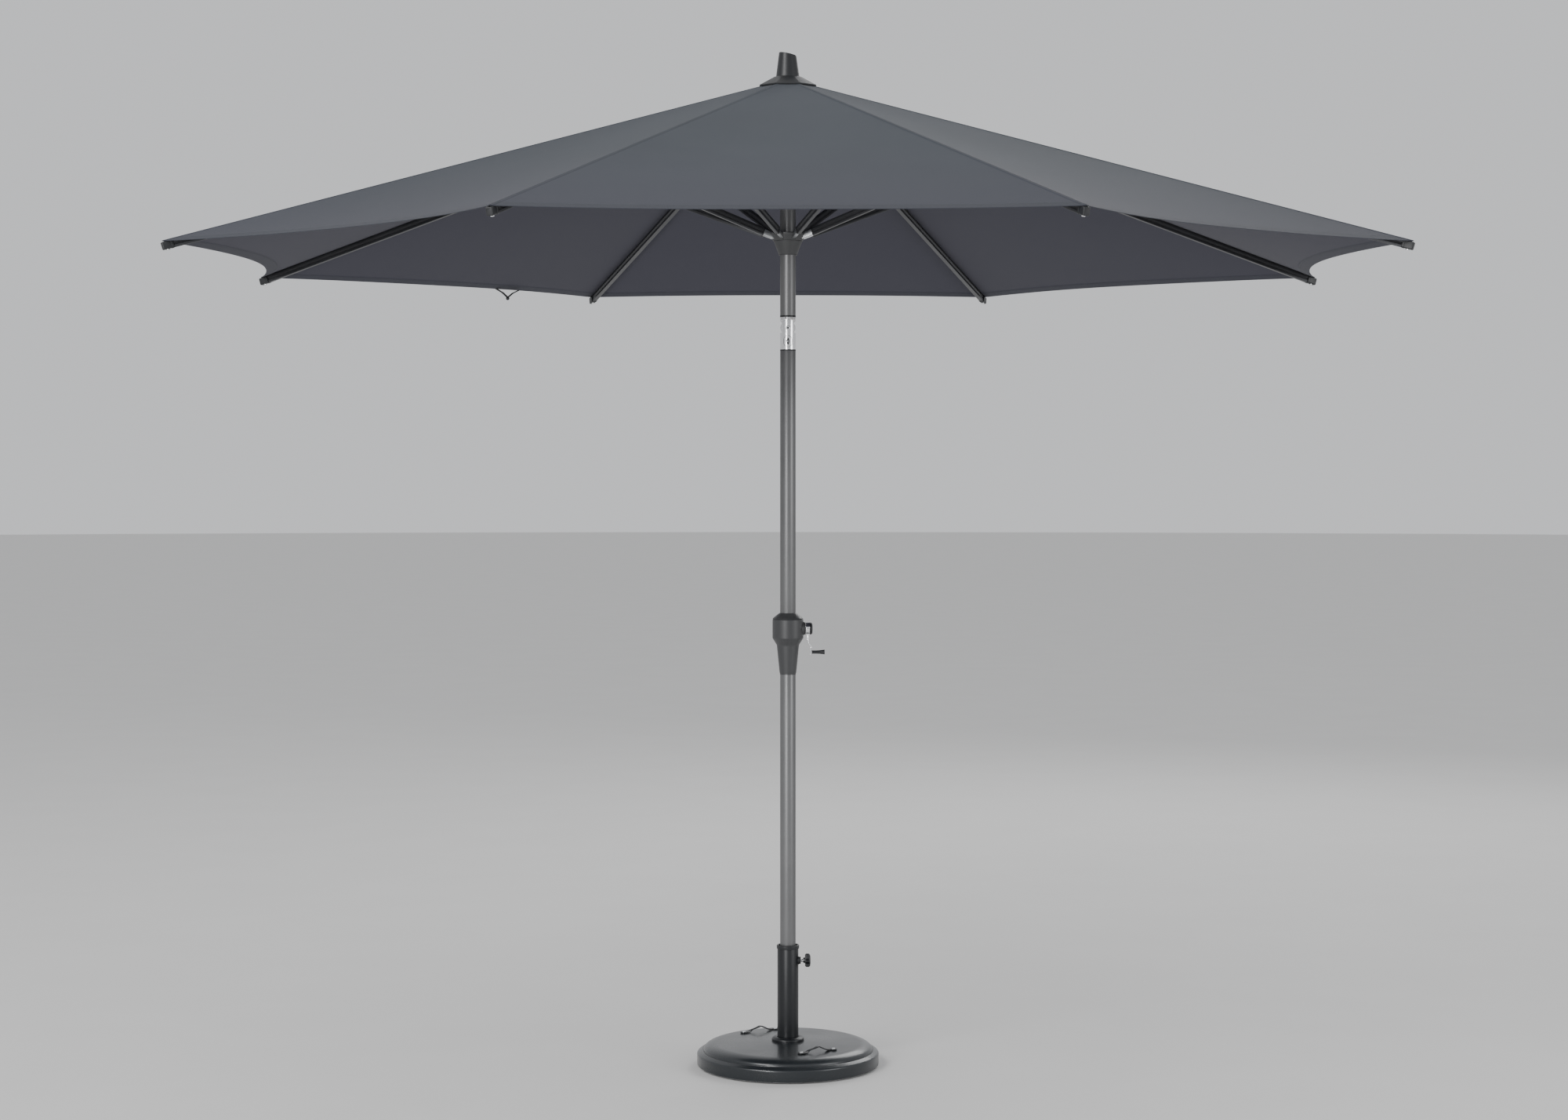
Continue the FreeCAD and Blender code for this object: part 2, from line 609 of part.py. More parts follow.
def make_crank_housing():
    seat, ledge = pole_radius + fit, tube_bore - ledge_width
    body = revolved(
        (seat, sleeve_low_z), (sleeve_radius, sleeve_low_z), (sleeve_shoulder_radius, sleeve_shoulder_z),
        (drum_radius, drum_low_z), (drum_radius, drum_top_z), (drum_inner_radius, drum_top_z),
        (drum_inner_radius, drum_low_z), (ledge, drum_low_z), (ledge, drum_low_z - tube_seat),
        (seat, drum_low_z - tube_seat),
    )
    inside = spool_half_width + 10
    boss = rod(boss_radius, V(inside, 0, crank_z), X, boss_end_x - inside)
    far_boss = rod(bush_radius + 4, V(-drum_inner_radius - 1, 0, crank_z), X, drum_inner_radius + 1 - inside)
    body = body.fuse([boss, far_boss]).removeSplitter()
    bush_bore = rod(bush_radius + fit, V(-drum_inner_radius, 0, crank_z), X, 2 * drum_radius + boss_end_x)
    keep("crank_housing", body.cut(bush_bore))
    bore = crank_shaft_radius + running
    near = rod(bush_radius, V(inside, 0, crank_z), X, boss_end_x - inside)
    far = rod(bush_radius, V(-drum_inner_radius + 0.5, 0, crank_z), X, drum_inner_radius - 0.5 - inside)
    shaft_hole = rod(bore, V(-2 * drum_radius, 0, crank_z), X, 4 * drum_radius)
    keep("crank_bushes", near.cut(shaft_hole), far.cut(shaft_hole))

    rim = drum_inner_radius - fit
    keep("crank_housing_cap", revolved(
        (ledge, drum_top_z - 2), (rim - 4, drum_top_z - 2), (rim - 4, drum_top_z - 5), (rim, drum_top_z - 5),
        (rim, drum_top_z + fit), (drum_radius, drum_top_z + fit), (housing_top_radius, housing_top_z),
        (seat, housing_top_z), (seat, drum_top_z + tube_seat), (ledge, drum_top_z + tube_seat),
    ))


def make_crank():
    eye_end = arm_start_x + arm_eye_width
    far_end = -drum_inner_radius + 2
    keep("crank_shaft", rod(crank_shaft_radius, V(far_end, 0, crank_z), X, eye_end - 1 - far_end))
    w, core = spool_half_width, crank_shaft_radius + fit
    between = w - spool_flange
    keep("cord_spool", spun_on_x(
        crank_z, (-w, core), (-w, spool_flange_radius), (-between, spool_flange_radius), (-between, spool_core_radius),
        (between, spool_core_radius), (between, spool_flange_radius), (w, spool_flange_radius), (w, core),
    ))
    wound = spool_core_radius + cord_layers * cord_radius
    wound_end = -cord_radius - apart
    keep("cord_spool", spun_on_x(
        crank_z, (-between + fit, spool_core_radius + fit), (-between + fit, wound), (wound_end, wound),
        (wound_end, spool_core_radius + fit),
    ))

    eye = rod(boss_radius, V(arm_start_x, 0, crank_z), X, arm_eye_width)
    x0 = arm_start_x + bar_inset
    x1 = x0 + arm_thickness
    low, half = crank_z - arm_length, arm_width / 2
    bar = prism([
        (x0, crank_z), (x1, crank_z), (x1, low + 24), (x1 + arm_step, low + 12), (x1 + arm_step, low),
        (x0 + arm_step, low), (x0 + arm_step, low + 13), (x0, low + 25),
    ], -half, half)
    bar = bar.fuse(rod(half, V(x0 + arm_step, 0, low), X, arm_thickness))
    shaft_hole = rod(crank_shaft_radius + fit, V(arm_start_x - 1, 0, crank_z), X, arm_eye_width)
    arm_face = x1 + arm_step
    spindle_hole = rod(spindle_radius + fit, V(x0, 0, low), X, 2 * arm_step + arm_thickness)
    arm = eye.fuse(bar).removeSplitter().cut([shaft_hole, spindle_hole])
    cap = spun_on_x(
        crank_z, (eye_end, 0), (eye_end, boss_radius), (eye_end + arm_cap_width - 3, boss_radius - 0.5),
        ((eye_end + arm_cap_width - 1, boss_radius - 1.5), (eye_end + arm_cap_width, boss_radius - 4)),
        (eye_end + arm_cap_width, 0),
    )
    grip_start = arm_face + 2 * apart
    grip_end = grip_start + grip_length
    spindle_start = arm_face - arm_thickness
    spindle = rod(spindle_radius, V(spindle_start, 0, low), X, grip_end - grip_recess - spindle_start)
    head = rod(spindle_radius + spindle_head, V(grip_end - grip_recess, 0, low), X, spindle_head_height)
    keep("crank_arm", arm, cap, spindle.fuse(head).removeSplitter())
    bore, recess = spindle_radius + running, spindle_radius + spindle_head + apart
    recess_start = grip_end - grip_recess - apart
    keep("crank_grip", spun_on_x(
        low, (grip_start, bore), (grip_start, grip_radius_low),
        ((grip_start + 0.4 * grip_length, grip_radius_low - 0.3), (grip_end, grip_radius_end)),
        (grip_end, recess), (recess_start, recess), (recess_start, bore),
    ))


def base_solid(inset):
    """The base's outer shape, drawn in by inset: upright rim, sloping ledge, round shoulder, shallow cone."""
    half, most = 0.5 * inset, 0.86 * inset
    return revolved(
        (0, foot_height), (base_radius - inset, foot_height), (base_radius - inset, rim_height - half),
        (ledge_radius - inset, ledge_z - half), (dome_foot_radius - inset, dome_foot_z - half),
        ((bulge_radius - half, bulge_z - most), (shoulder_radius, base_shoulder_z - inset)),
        (collar_radius, base_top_z - inset), (0, base_top_z - inset),
    )


def handle_screw_places():
    places = []
    for azimuth in handle_azimuths:
        angle = math.radians(azimuth)
        for side in (-1, 1):
            off = side * (handle_length / 2 - handle_width / 2 - handle_foot_margin)
            x = handle_circle * math.cos(angle) - off * math.sin(angle)
            y = handle_circle * math.sin(angle) + off * math.cos(angle)
            places.append((x, y))
    return places


def base_top_at(radius):
    share = (shoulder_radius - radius) / (shoulder_radius - collar_radius)
    return base_shoulder_z + share * (base_top_z - base_shoulder_z)


def make_base():
    under = foot_height + plate_sheet
    holes = [
        rod(handle_screw_radius + fit, V(x, y, base_shoulder_z - handle_screw_hole), Z, 2 * handle_screw_hole)
        for x, y in handle_screw_places()
    ]
    stem_hole = disc(stem_radius + apart, 0, 2 * base_top_z)
    inside = base_solid(cover_sheet)
    keep("base_cover", base_solid(0).cut([inside, stem_hole]).cut(holes))
    core = base_solid(cover_sheet + apart).cut([stem_hole, disc(base_radius, 0, under + fit)])
    core = core.cut(disc(washer_radius + apart, 0, stem_foot_z)).cut(holes)
    keep("base_core", core)
    plate = disc(base_radius - cover_sheet - apart, foot_height, under)
    keep("base_plate", plate.cut(disc(bolt_head_radius + 4, 0, 2 * under)))
    foot = revolved(
        (0, 0), (foot_radius - 1, 0), (foot_radius, 1), (foot_radius, foot_height), (0, foot_height)
    )
    foot.translate(V(foot_circle, 0, 0))
    keep("base_feet", *around(foot, foot_count, first_foot))


def make_stem():
    inner = stem_radius - stem_wall
    boss = rod(clamp_boss_radius, V(inner + 0.5, 0, clamp_z), X, clamp_boss_end_x - inner - 0.5)
    tube = ring(stem_radius, inner, stem_foot_z, stem_top_z).fuse(boss).removeSplitter()
    tube = tube.cut(rod(clamp_screw_radius + running, V(0, 0, clamp_z), X, 2 * clamp_boss_end_x))
    bolt_hole = disc(bolt_radius + fit / 2, 0, 2 * base_top_z)
    plug = disc(inner - fit, stem_foot_z, stem_foot_z + stem_plug_height).cut(bolt_hole)
    keep("stem_tube", tube, plug)
    head_top = stem_foot_z - washer_height
    head = Part.Face(Part.makePolygon([
        V(bolt_head_radius * math.cos(math.pi * n / 3), bolt_head_radius * math.sin(math.pi * n / 3), head_top)
        for n in range(7)
    ])).extrude(V(0, 0, -bolt_head_height))
    bolt = head.fuse(disc(bolt_radius, head_top, stem_foot_z + stem_plug_height)).removeSplitter()
    washer = disc(washer_radius, head_top, stem_foot_z).cut(disc(bolt_radius + fit, 0, base_top_z))
    keep("stem_bolt", bolt, washer)
    keep("stem_collar", revolved(
        (stem_radius + fit, base_top_z + fit), (collar_radius, base_top_z + fit),
        ((collar_radius - 1.5, base_top_z + 0.72 * collar_height), (collar_radius - 7, base_top_z + collar_height)),
        (stem_radius + fit, base_top_z + collar_height),
    ))
    rim = stem_top_z + lip_rise
    keep("stem_lip", revolved(
        (inner + fit, rim), (inner + fit, stem_top_z), (stem_radius + fit, stem_top_z),
        (stem_radius + fit, rim - lip_height), (lip_radius, rim - lip_height), (lip_radius, rim - 1),
        (lip_radius - 1, rim),
    ))
    cup_low = stem_foot_z + stem_plug_height + apart
    cup_floor_z = pole_foot_z - apart
    keep("centring_cup", revolved(
        (0, cup_low), (inner - apart, cup_low), (inner - apart, cup_low + cup_height),
        (pole_radius + apart, cup_low + cup_height), (pole_radius + apart, cup_floor_z), (0, cup_floor_z),
    ))


def make_carry_handles():
    """Wavy strips with a round screwed foot at each end and a finger's gap under the arch."""
    half, w, t, rise = handle_length / 2, handle_width / 2, handle_sheet, handle_rise
    foot = half - w - handle_foot_margin
    arch = 0.3 * handle_length
    steps = [
        (-foot, 0), (-arch, 0), (-0.5 * arch, rise - t), (0.5 * arch, rise - t), (arch, 0), (foot, 0),
        (foot, t), (arch + 0.4 * t, t), (0.5 * arch + 0.4 * t, rise), (-0.5 * arch - 0.4 * t, rise),
        (-arch - 0.4 * t, t), (-foot, t),
    ]
    strip = prism(steps, -w, w)
    pads = [rod(w + handle_foot_margin, V(side * foot, 0, 0), Z, t) for side in (-1, 1)]
    holes = [rod(handle_screw_radius + fit, V(side * foot, 0, -1), Z, t + 2) for side in (-1, 1)]
    handle = strip.fuse(pads).removeSplitter().cut(holes)
    level = base_top_at(handle_circle - w - handle_foot_margin) + fit
    deep = handle_screw_length
    screws = [
        rod(handle_screw_radius, V(side * foot, 0, -deep), Z, deep + t).fuse(
            rod(1.8 * handle_screw_radius, V(side * foot, 0, t), Z, handle_screw_head)).removeSplitter()
        for side in (-1, 1)
    ]
    for azimuth in handle_azimuths:
        for piece in [handle] + screws:
            placed = piece.copy()
            placed.rotate(origin, Z, 90)
            placed.translate(V(handle_circle, 0, level))
            keep("carry_handles", turned(placed, azimuth))


def make_clamp():
    tip = pole_radius + apart
    screw_start = stem_radius - 1
    knob_end = knob_start_x + knob_length
    keep("clamp_pad", rod(clamp_pad_radius, V(tip, 0, clamp_z), X, screw_start - tip))
    shank_end = knob_end - shank_inset
    keep("clamp_screw", rod(clamp_screw_radius, V(screw_start + fit, 0, clamp_z), X, shank_end - screw_start - fit))
    knob = spun_on_x(
        0, (knob_start_x, 0), (knob_start_x, knob_radius - 4), (knob_start_x + knob_edge, knob_radius),
        (knob_end - 2, knob_radius), (knob_end, knob_radius - 2), (knob_end, 0),
    )
    lobe_reach = V(knob_start_x + knob_edge, 0, knob_radius - 1)
    lobe = rod(knob_lobe_radius, lobe_reach, X, knob_length - knob_edge - 1)
    lobes = []
    for n in range(knob_lobes):
        copy = lobe.copy()
        copy.rotate(origin, X, 360.0 / knob_lobes * n)
        lobes.append(copy)
    knob = knob.fuse(lobes).removeSplitter()
    knob.translate(V(0, 0, clamp_z))
    keep("clamp_knob", knob.cut(rod(clamp_screw_radius + fit, V(0, 0, clamp_z), X, shank_end + fit)))


make_base()
make_stem()
make_carry_handles()
make_clamp()
make_pole()
make_crank_housing()
make_crank()
make_tilt_joint()
make_tilt_button()
make_hub()
make_lift_cord()
make_runner()
make_finial()
for number in range(1, rib_count + 1):
    keep(f"rib_{number}", *[on_rib(piece, number) for piece in make_rib()])
    keep(f"strut_{number}", *[on_strut(piece, number) for piece in make_strut()])
    keep(f"canopy_panel_{number}", make_canopy_panel(number))
keep("tie_strap", *make_tie_strap())

os.makedirs("parts", exist_ok=True)
for name, solids in nodes.items():
    for solid in solids:
        if not solid.isValid() or len(solid.Solids) != 1:
            raise RuntimeError(f"{name}: a piece is not one valid solid")
    Part.makeCompound([piece.Solids[0] for piece in solids]).exportStep(f"parts/{name}.step")
print(len(nodes), "nodes; runner pin z", round(runner_pin_z, 3), "link", round(link_length, 3),
      "link slope", round(math.degrees(link_slope), 3), "rib length", round(rib_length, 2))
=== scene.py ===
import json
import math
import bmesh
import bpy
import numpy as np
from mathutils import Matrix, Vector

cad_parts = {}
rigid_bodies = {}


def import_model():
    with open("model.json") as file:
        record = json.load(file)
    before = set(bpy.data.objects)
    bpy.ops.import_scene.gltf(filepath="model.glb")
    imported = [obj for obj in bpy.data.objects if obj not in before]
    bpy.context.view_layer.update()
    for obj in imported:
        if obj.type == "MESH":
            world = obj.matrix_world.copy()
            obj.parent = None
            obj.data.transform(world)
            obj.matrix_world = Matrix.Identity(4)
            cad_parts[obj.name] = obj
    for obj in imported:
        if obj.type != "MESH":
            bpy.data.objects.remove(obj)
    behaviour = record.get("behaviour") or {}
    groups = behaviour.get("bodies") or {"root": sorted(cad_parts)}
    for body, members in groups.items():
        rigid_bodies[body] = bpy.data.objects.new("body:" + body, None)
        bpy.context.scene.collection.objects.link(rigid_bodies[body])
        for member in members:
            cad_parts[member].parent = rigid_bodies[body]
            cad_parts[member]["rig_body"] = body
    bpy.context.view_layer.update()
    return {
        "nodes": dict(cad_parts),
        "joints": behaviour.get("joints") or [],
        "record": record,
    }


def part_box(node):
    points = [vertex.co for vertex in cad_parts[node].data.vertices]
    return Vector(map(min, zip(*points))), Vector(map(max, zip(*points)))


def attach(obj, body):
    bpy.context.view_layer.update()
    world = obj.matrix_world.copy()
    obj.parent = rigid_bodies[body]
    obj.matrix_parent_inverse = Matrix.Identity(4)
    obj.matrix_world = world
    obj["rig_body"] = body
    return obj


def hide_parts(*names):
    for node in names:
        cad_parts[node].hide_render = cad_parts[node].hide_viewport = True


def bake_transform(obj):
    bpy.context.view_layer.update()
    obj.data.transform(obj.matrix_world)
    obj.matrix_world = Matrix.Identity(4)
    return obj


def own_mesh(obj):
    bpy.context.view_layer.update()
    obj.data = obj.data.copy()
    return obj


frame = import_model()
joints = {j["name"]: j for j in frame["joints"]}
nodes = frame["nodes"]
print("frame loaded")

umbrella = {
    "ribs": 8,
    "firstRib": 22.5,       # degrees from +X
    "radius": 1.5,          # pole axis to rib tip
    "bracketAt": 0.520, "bracketDrop": 0.034,       # the strut's pin, along and below the rib
}
pinCircle = math.hypot(*joints["canopy_fold"]["pos_m"][:2])
hubPinZ = joints["canopy_fold"]["pos_m"][2]
runnerPinZ = joints["runner_hinge"]["pos_m"][2]
strutJoint = joints["strut_1_hinge"]["pos_m"]
linkRun = math.hypot(*strutJoint[:2]) - pinCircle
linkSlope = math.atan2(strutJoint[2] - runnerPinZ, linkRun)
linkLength = linkRun / math.cos(linkSlope)
slope = linkSlope - math.atan2(umbrella["bracketDrop"], umbrella["bracketAt"])
ribLength = (umbrella["radius"] - pinCircle) / math.cos(slope)
halfGore = math.pi / umbrella["ribs"]
tiltZ = joints["canopy_tilt"]["pos_m"][2]
crankZ = joints["crank_turn"]["pos_m"][2]
clampZ = joints["clamp_turn"]["pos_m"][2]


# Shapes. A shell is a pair: an array of points, one x, y, z in each row, and the faces as lists of point
# numbers.
def unit(v):
    return v / np.maximum(np.linalg.norm(v, axis=-1, keepdims=True), 1e-12)


def gridFaces(rows, columns, wrapRows, wrapColumns):
    # four neighbours each; a wrapped direction closes on itself
    i, j = np.meshgrid(np.arange(rows - (not wrapRows)), np.arange(columns - (not wrapColumns)),
                       indexing="ij")
    k, m = (i + 1) % rows, (j + 1) % columns
    return np.stack([i * columns + j, k * columns + j, k * columns + m, i * columns + m], -1).reshape(-1, 4)


def shell(points, wrapRows=False, caps=(True, True)):
    # rows of rings, joined side by side, with a face on each end
    rows, columns = points.shape[:2]
    faces = gridFaces(rows, columns, wrapRows, True).tolist()
    last = (rows - 1) * columns
    if caps[0]:
        faces.append(list(range(columns)))
    if caps[1]:
        faces.append(list(range(last + columns - 1, last - 1, -1)))
    return points.reshape(-1, 3), faces


def signedVolume(points, faces):  # sum over the fan triangles of a . (b x c) / 6
    fans = [(f[0], f[n], f[n + 1]) for f in faces for n in range(1, len(f) - 1)]
    a, b, c = np.moveaxis(points[np.array(fans)], 1, 0)
    return float(np.einsum("ij,ij->", a, np.cross(b, c)) / 6)


def lathe(profile, segments=96):  # (radius, height) carried round Z: x = r cos t, y = r sin t
    profile = np.array(profile, float)
    first, last = profile[0, 0] == 0, profile[-1, 0] == 0
    ring = profile[int(first):len(profile) - int(last)]
    t = np.linspace(0, 2 * math.pi, segments, endpoint=False)
    r, z = ring[:, :1], ring[:, 1:]
    points = np.stack([r * np.cos(t), r * np.sin(t), z + 0 * t], -1)
    return shell(points, wrapRows=not (first or last), caps=(first, last))


def rounded(corners, closed=False, steps=6):
    # each corner (a, b, radius) becomes an arc tangent to its two sides
    points = np.array([c[:2] for c in corners], float)
    made, count = [], len(corners)
    for n, corner in enumerate(corners):
        radius = corner[2] if len(corner) > 2 else 0
        if radius == 0 or (not closed and n in (0, count - 1)):
            made.append(points[n])
            continue
        u, v = points[n - 1] - points[n], points[(n + 1) % count] - points[n]
        shortest = min(np.linalg.norm(u), np.linalg.norm(v))
        u, v = unit(u), unit(v)
        half = math.acos(float(np.clip(u @ v, -1, 1))) / 2
        radius = min(radius, 0.49 * shortest * math.tan(half))
        centre = points[n] + unit(u + v) * radius / math.sin(half)
        start = points[n] + u * radius / math.tan(half) - centre
        end = points[n] + v * radius / math.tan(half) - centre
        sweep = math.atan2(start[0] * end[1] - start[1] * end[0], start @ end)
        t = np.linspace(0, sweep, steps)
        made += list(centre + np.outer(np.cos(t), start) + np.outer(np.sin(t), [-start[1], start[0]]))
    return np.array(made)


def roundedBox(half, tall, low, high):
    # rectangle 2 half by 2 tall, with a corner radius below and one above
    return rounded([(-half, -tall, low), (half, -tall, low), (half, tall, high), (-half, tall, high)],
                   closed=True)


def insetOutline(outline, inset):  # each point moves in along the mean of its two sides' normals
    side = unit(np.roll(outline, -1, 0) - outline)
    normal = np.stack([side[:, 1], -side[:, 0]], -1)
    area = np.sum(outline[:, 0] * np.roll(outline[:, 1], -1) - outline[:, 1] * np.roll(outline[:, 0], -1))
    before = np.roll(normal, 1, 0)
    mean = (normal + before) / np.maximum(1 + np.sum(normal * before, -1, keepdims=True), 0.3)
    return outline - inset * mean * np.sign(area)


def prism(outline, low, high, edge=0.0006, steps=4):
    # an outline (x, y) carried along z, with a quarter round at both rims
    t = np.linspace(0, math.pi / 2, steps)
    depth, inset = edge * (1 - np.cos(t)), edge * (1 - np.sin(t))
    rings = [(low + d, i) for d, i in zip(depth, inset)]
    rings += [(high - d, i) for d, i in zip(depth[::-1], inset[::-1])]
    return shell(np.stack([
        np.column_stack([insetOutline(outline, i), np.full(len(outline), z)]) for z, i in rings
    ]))


def tube(path, radius, segments=24):  # a circle carried along a path, square to it
    path = np.asarray(path, float)
    along = unit(np.gradient(path, axis=0))
    side = unit(np.cross(along, np.where(abs(along[:, 2:]) < 0.9, [[0, 0, 1.0]], [[1.0, 0, 0]])))
    up = np.cross(side, along)
    t = np.linspace(0, 2 * math.pi, segments, endpoint=False)[:, None]
    ring = np.cos(t)[None] * side[:, None] + np.sin(t)[None] * up[:, None]
    return shell(path[:, None] + np.broadcast_to(radius, len(path))[:, None, None] * ring)


def axes(origin, x, y, z):  # columns are the three directions and the origin
    matrix = np.eye(4)
    matrix[:3] = np.column_stack([x, y, z, origin])
    return matrix


def placed(part, matrix):
    points, faces = part
    return points @ matrix[:3, :3].T + matrix[:3, 3], faces


def ribAzimuth(number):
    return math.radians(umbrella["firstRib"] + 360 / umbrella["ribs"] * (number - 1))


def radialFrame(number, radius, z, tip):  # x outwards turned down by tip, y along the ring, z upwards
    a = ribAzimuth(number)
    out, up = np.array([math.cos(a), math.sin(a), 0]), np.array([0, 0, 1.0])
    ring = [-math.sin(a), math.cos(a), 0]
    x = math.cos(tip) * out - math.sin(tip) * up
    return axes(radius * out + z * up, x, ring, math.sin(tip) * out + math.cos(tip) * up)


def ribFrame(number):
    return radialFrame(number, pinCircle, hubPinZ, slope)


def strutFrame(number):
    return radialFrame(number, pinCircle, runnerPinZ, -linkSlope)


def alongX(z, y=0.0):  # a lathe's height becomes x
    return axes([0, y, z], [0, 1, 0], [0, 0, 1], [1, 0, 0])


def alongY(z, x=0.0):  # a lathe's height becomes -y
    return axes([x, 0, z], [1, 0, 0], [0, 0, 1], [0, -1, 0])


def lengthways(z=0.0):  # an outline (y, z) carried along x
    return axes([0, 0, z], [0, 1, 0], [0, 0, 1], [1, 0, 0])


def sideways():  # an outline (x, z) carried along -y
    return axes([0, 0, 0], [1, 0, 0], [0, 0, 1], [0, -1, 0])


def make(name, shells, finishes, body, replaces=(), sharp=40):  # one piece from closed shells
    finishes = finishes if isinstance(finishes, list) else [finishes]
    points, faces, slots, count = [], [], [], 0
    for part in shells:
        place, around = part[:2]
        if signedVolume(place, around) < 0:
            around = [face[::-1] for face in around]
        points.append(place)
        faces += [[n + count for n in face] for face in around]
        slots += [part[2] if len(part) > 2 else 0] * len(around)
        count += len(place)
    mesh = bpy.data.meshes.new(name)
    mesh.from_pydata(np.concatenate(points).tolist(), [], faces)
    for finish in finishes:
        mesh.materials.append(finish)
    mesh.polygons.foreach_set("material_index", slots)
    mesh.shade_smooth()
    mesh.set_sharp_from_angle(angle=math.radians(sharp))
    piece = bpy.data.objects.new(name, mesh)
    bpy.context.scene.collection.objects.link(piece)
    if body:
        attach(piece, body)
    if replaces:
        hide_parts(*replaces)
    return piece


def softened(node, name, finish, edge):  # a merged copy of a designed part, with its edges rounded
    source = nodes[node]
    mesh = source.data.copy()
    mesh.name = name
    piece = bpy.data.objects.new(name, mesh)
    bpy.context.scene.collection.objects.link(piece)
    work = bmesh.new()
    work.from_mesh(mesh)
    bmesh.ops.remove_doubles(work, verts=work.verts, dist=1e-6)
    bmesh.ops.dissolve_limit(work, angle_limit=math.radians(0.5), verts=work.verts, edges=work.edges)
    work.to_mesh(mesh)
    work.free()
    if mesh.attributes.get("custom_normal"):
        mesh.attributes.remove(mesh.attributes["custom_normal"])
    mesh.shade_smooth()
    mesh.set_sharp_from_angle(angle=math.radians(35))
    mesh.materials.clear()
    mesh.materials.append(finish)
    bevel = piece.modifiers.new("edges", "BEVEL")
    bevel.width, bevel.segments, bevel.limit_method = edge, 2, "ANGLE"
    bevel.angle_limit, bevel.harden_normals = math.radians(38), True
    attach(piece, source["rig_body"])
    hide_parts(node)
    return piece


# Shader groups shared by the finishes
def link(tree, kind, sockets=None, **settings):
    made = tree.nodes.new(kind)
    for key, value in settings.items():
        setattr(made, key, value)
    for key, value in (sockets or {}).items():
        if isinstance(value, bpy.types.NodeSocket):
            tree.links.new(value, made.inputs[key])
        else:
            made.inputs[key].default_value = value
    return made


def shaderGroup(name, inputs, outputs):
    tree = bpy.data.node_groups.new(name, "ShaderNodeTree")
    for label, kind, value in inputs:
        socket = tree.interface.new_socket(label, in_out="INPUT", socket_type=kind)
        if value is not None:
            socket.default_value = value
    for label, kind in outputs:
        tree.interface.new_socket(label, in_out="OUTPUT", socket_type=kind)
    return tree, tree.nodes.new("NodeGroupInput"), tree.nodes.new("NodeGroupOutput")


def buildGrainGroup():  # fine grain, bright specks and a broad cloud, all from noise at three scales
    tree, given, result = shaderGroup(
        "surfaceGrain",
        [("Vector", "NodeSocketVector", None), ("Scale", "NodeSocketFloat", 900.0)],
        [("Grain", "NodeSocketFloat"), ("Specks", "NodeSocketFloat"), ("Cloud", "NodeSocketFloat")],
    )
    place, scale = given.outputs["Vector"], given.outputs["Scale"]
    fine = link(tree, "ShaderNodeTexNoise", {"Vector": place, "Scale": scale, "Detail": 3.0,
                                             "Roughness": 0.6})
    cells = link(tree, "ShaderNodeTexVoronoi", {"Vector": place, "Scale": scale})
    glint = link(tree, "ShaderNodeMapRange", {
        0: cells.outputs["Distance"], "From Min": 0.32, "From Max": 0.12, "To Min": 0.0, "To Max": 1.0})
    pick = link(tree, "ShaderNodeSeparateColor", {0: cells.outputs["Color"]})
    rare = link(tree, "ShaderNodeMapRange", {0: pick.outputs[0], "From Min": 0.72, "From Max": 0.95})
    specks = link(tree, "ShaderNodeMath", {0: glint.outputs[0], 1: rare.outputs[0]}, operation="MULTIPLY")
    broad = link(tree, "ShaderNodeTexNoise", {"Vector": place, "Scale": 7.0, "Detail": 4.0,
                                              "Roughness": 0.55})
    tree.links.new(fine.outputs["Fac"], result.inputs["Grain"])
    tree.links.new(specks.outputs[0], result.inputs["Specks"])
    tree.links.new(broad.outputs["Fac"], result.inputs["Cloud"])
    return tree


def buildWearGroup():  # rubbed edges where the surface is most convex, broken up by noise
    tree, given, result = shaderGroup(
        "rubbedEdges",
        [("Vector", "NodeSocketVector", None), ("Amount", "NodeSocketFloat", 0.5)],
        [("Mask", "NodeSocketFloat")],
    )
    shape = link(tree, "ShaderNodeNewGeometry")
    sharp = link(tree, "ShaderNodeMapRange", {0: shape.outputs["Pointiness"], "From Min": 0.60,
                                              "From Max": 0.80})
    noise = link(tree, "ShaderNodeTexNoise", {"Vector": given.outputs["Vector"], "Scale": 60.0,
                                              "Detail": 5.0})
    broken = link(tree, "ShaderNodeMapRange", {0: noise.outputs["Fac"], "From Min": 0.42, "From Max": 0.62})
    both = link(tree, "ShaderNodeMath", {0: sharp.outputs[0], 1: broken.outputs[0]}, operation="MULTIPLY")
    mask = link(tree, "ShaderNodeMath", {0: both.outputs[0], 1: given.outputs["Amount"]},
                operation="MULTIPLY")
    tree.links.new(mask.outputs[0], result.inputs["Mask"])
    return tree


def buildDustGroup():  # a film on faces that look up, patchy with noise
    tree, given, result = shaderGroup(
        "settledDust",
        [("Vector", "NodeSocketVector", None), ("Amount", "NodeSocketFloat", 0.3)],
        [("Mask", "NodeSocketFloat")],
    )
    place = link(tree, "ShaderNodeTexCoord")
    split = link(tree, "ShaderNodeSeparateXYZ", {0: place.outputs["Normal"]})
    up = link(tree, "ShaderNodeMapRange", {0: split.outputs["Z"], "From Min": 0.35, "From Max": 1.0})
    noise = link(tree, "ShaderNodeTexNoise", {"Vector": given.outputs["Vector"], "Scale": 18.0,
                                              "Detail": 6.0, "Roughness": 0.7})
    patch = link(tree, "ShaderNodeMapRange", {0: noise.outputs["Fac"], "From Min": 0.4, "From Max": 0.75})
    both = link(tree, "ShaderNodeMath", {0: up.outputs[0], 1: patch.outputs[0]}, operation="MULTIPLY")
    mask = link(tree, "ShaderNodeMath", {0: both.outputs[0], 1: given.outputs["Amount"]},
                operation="MULTIPLY")
    tree.links.new(mask.outputs[0], result.inputs["Mask"])
    return tree


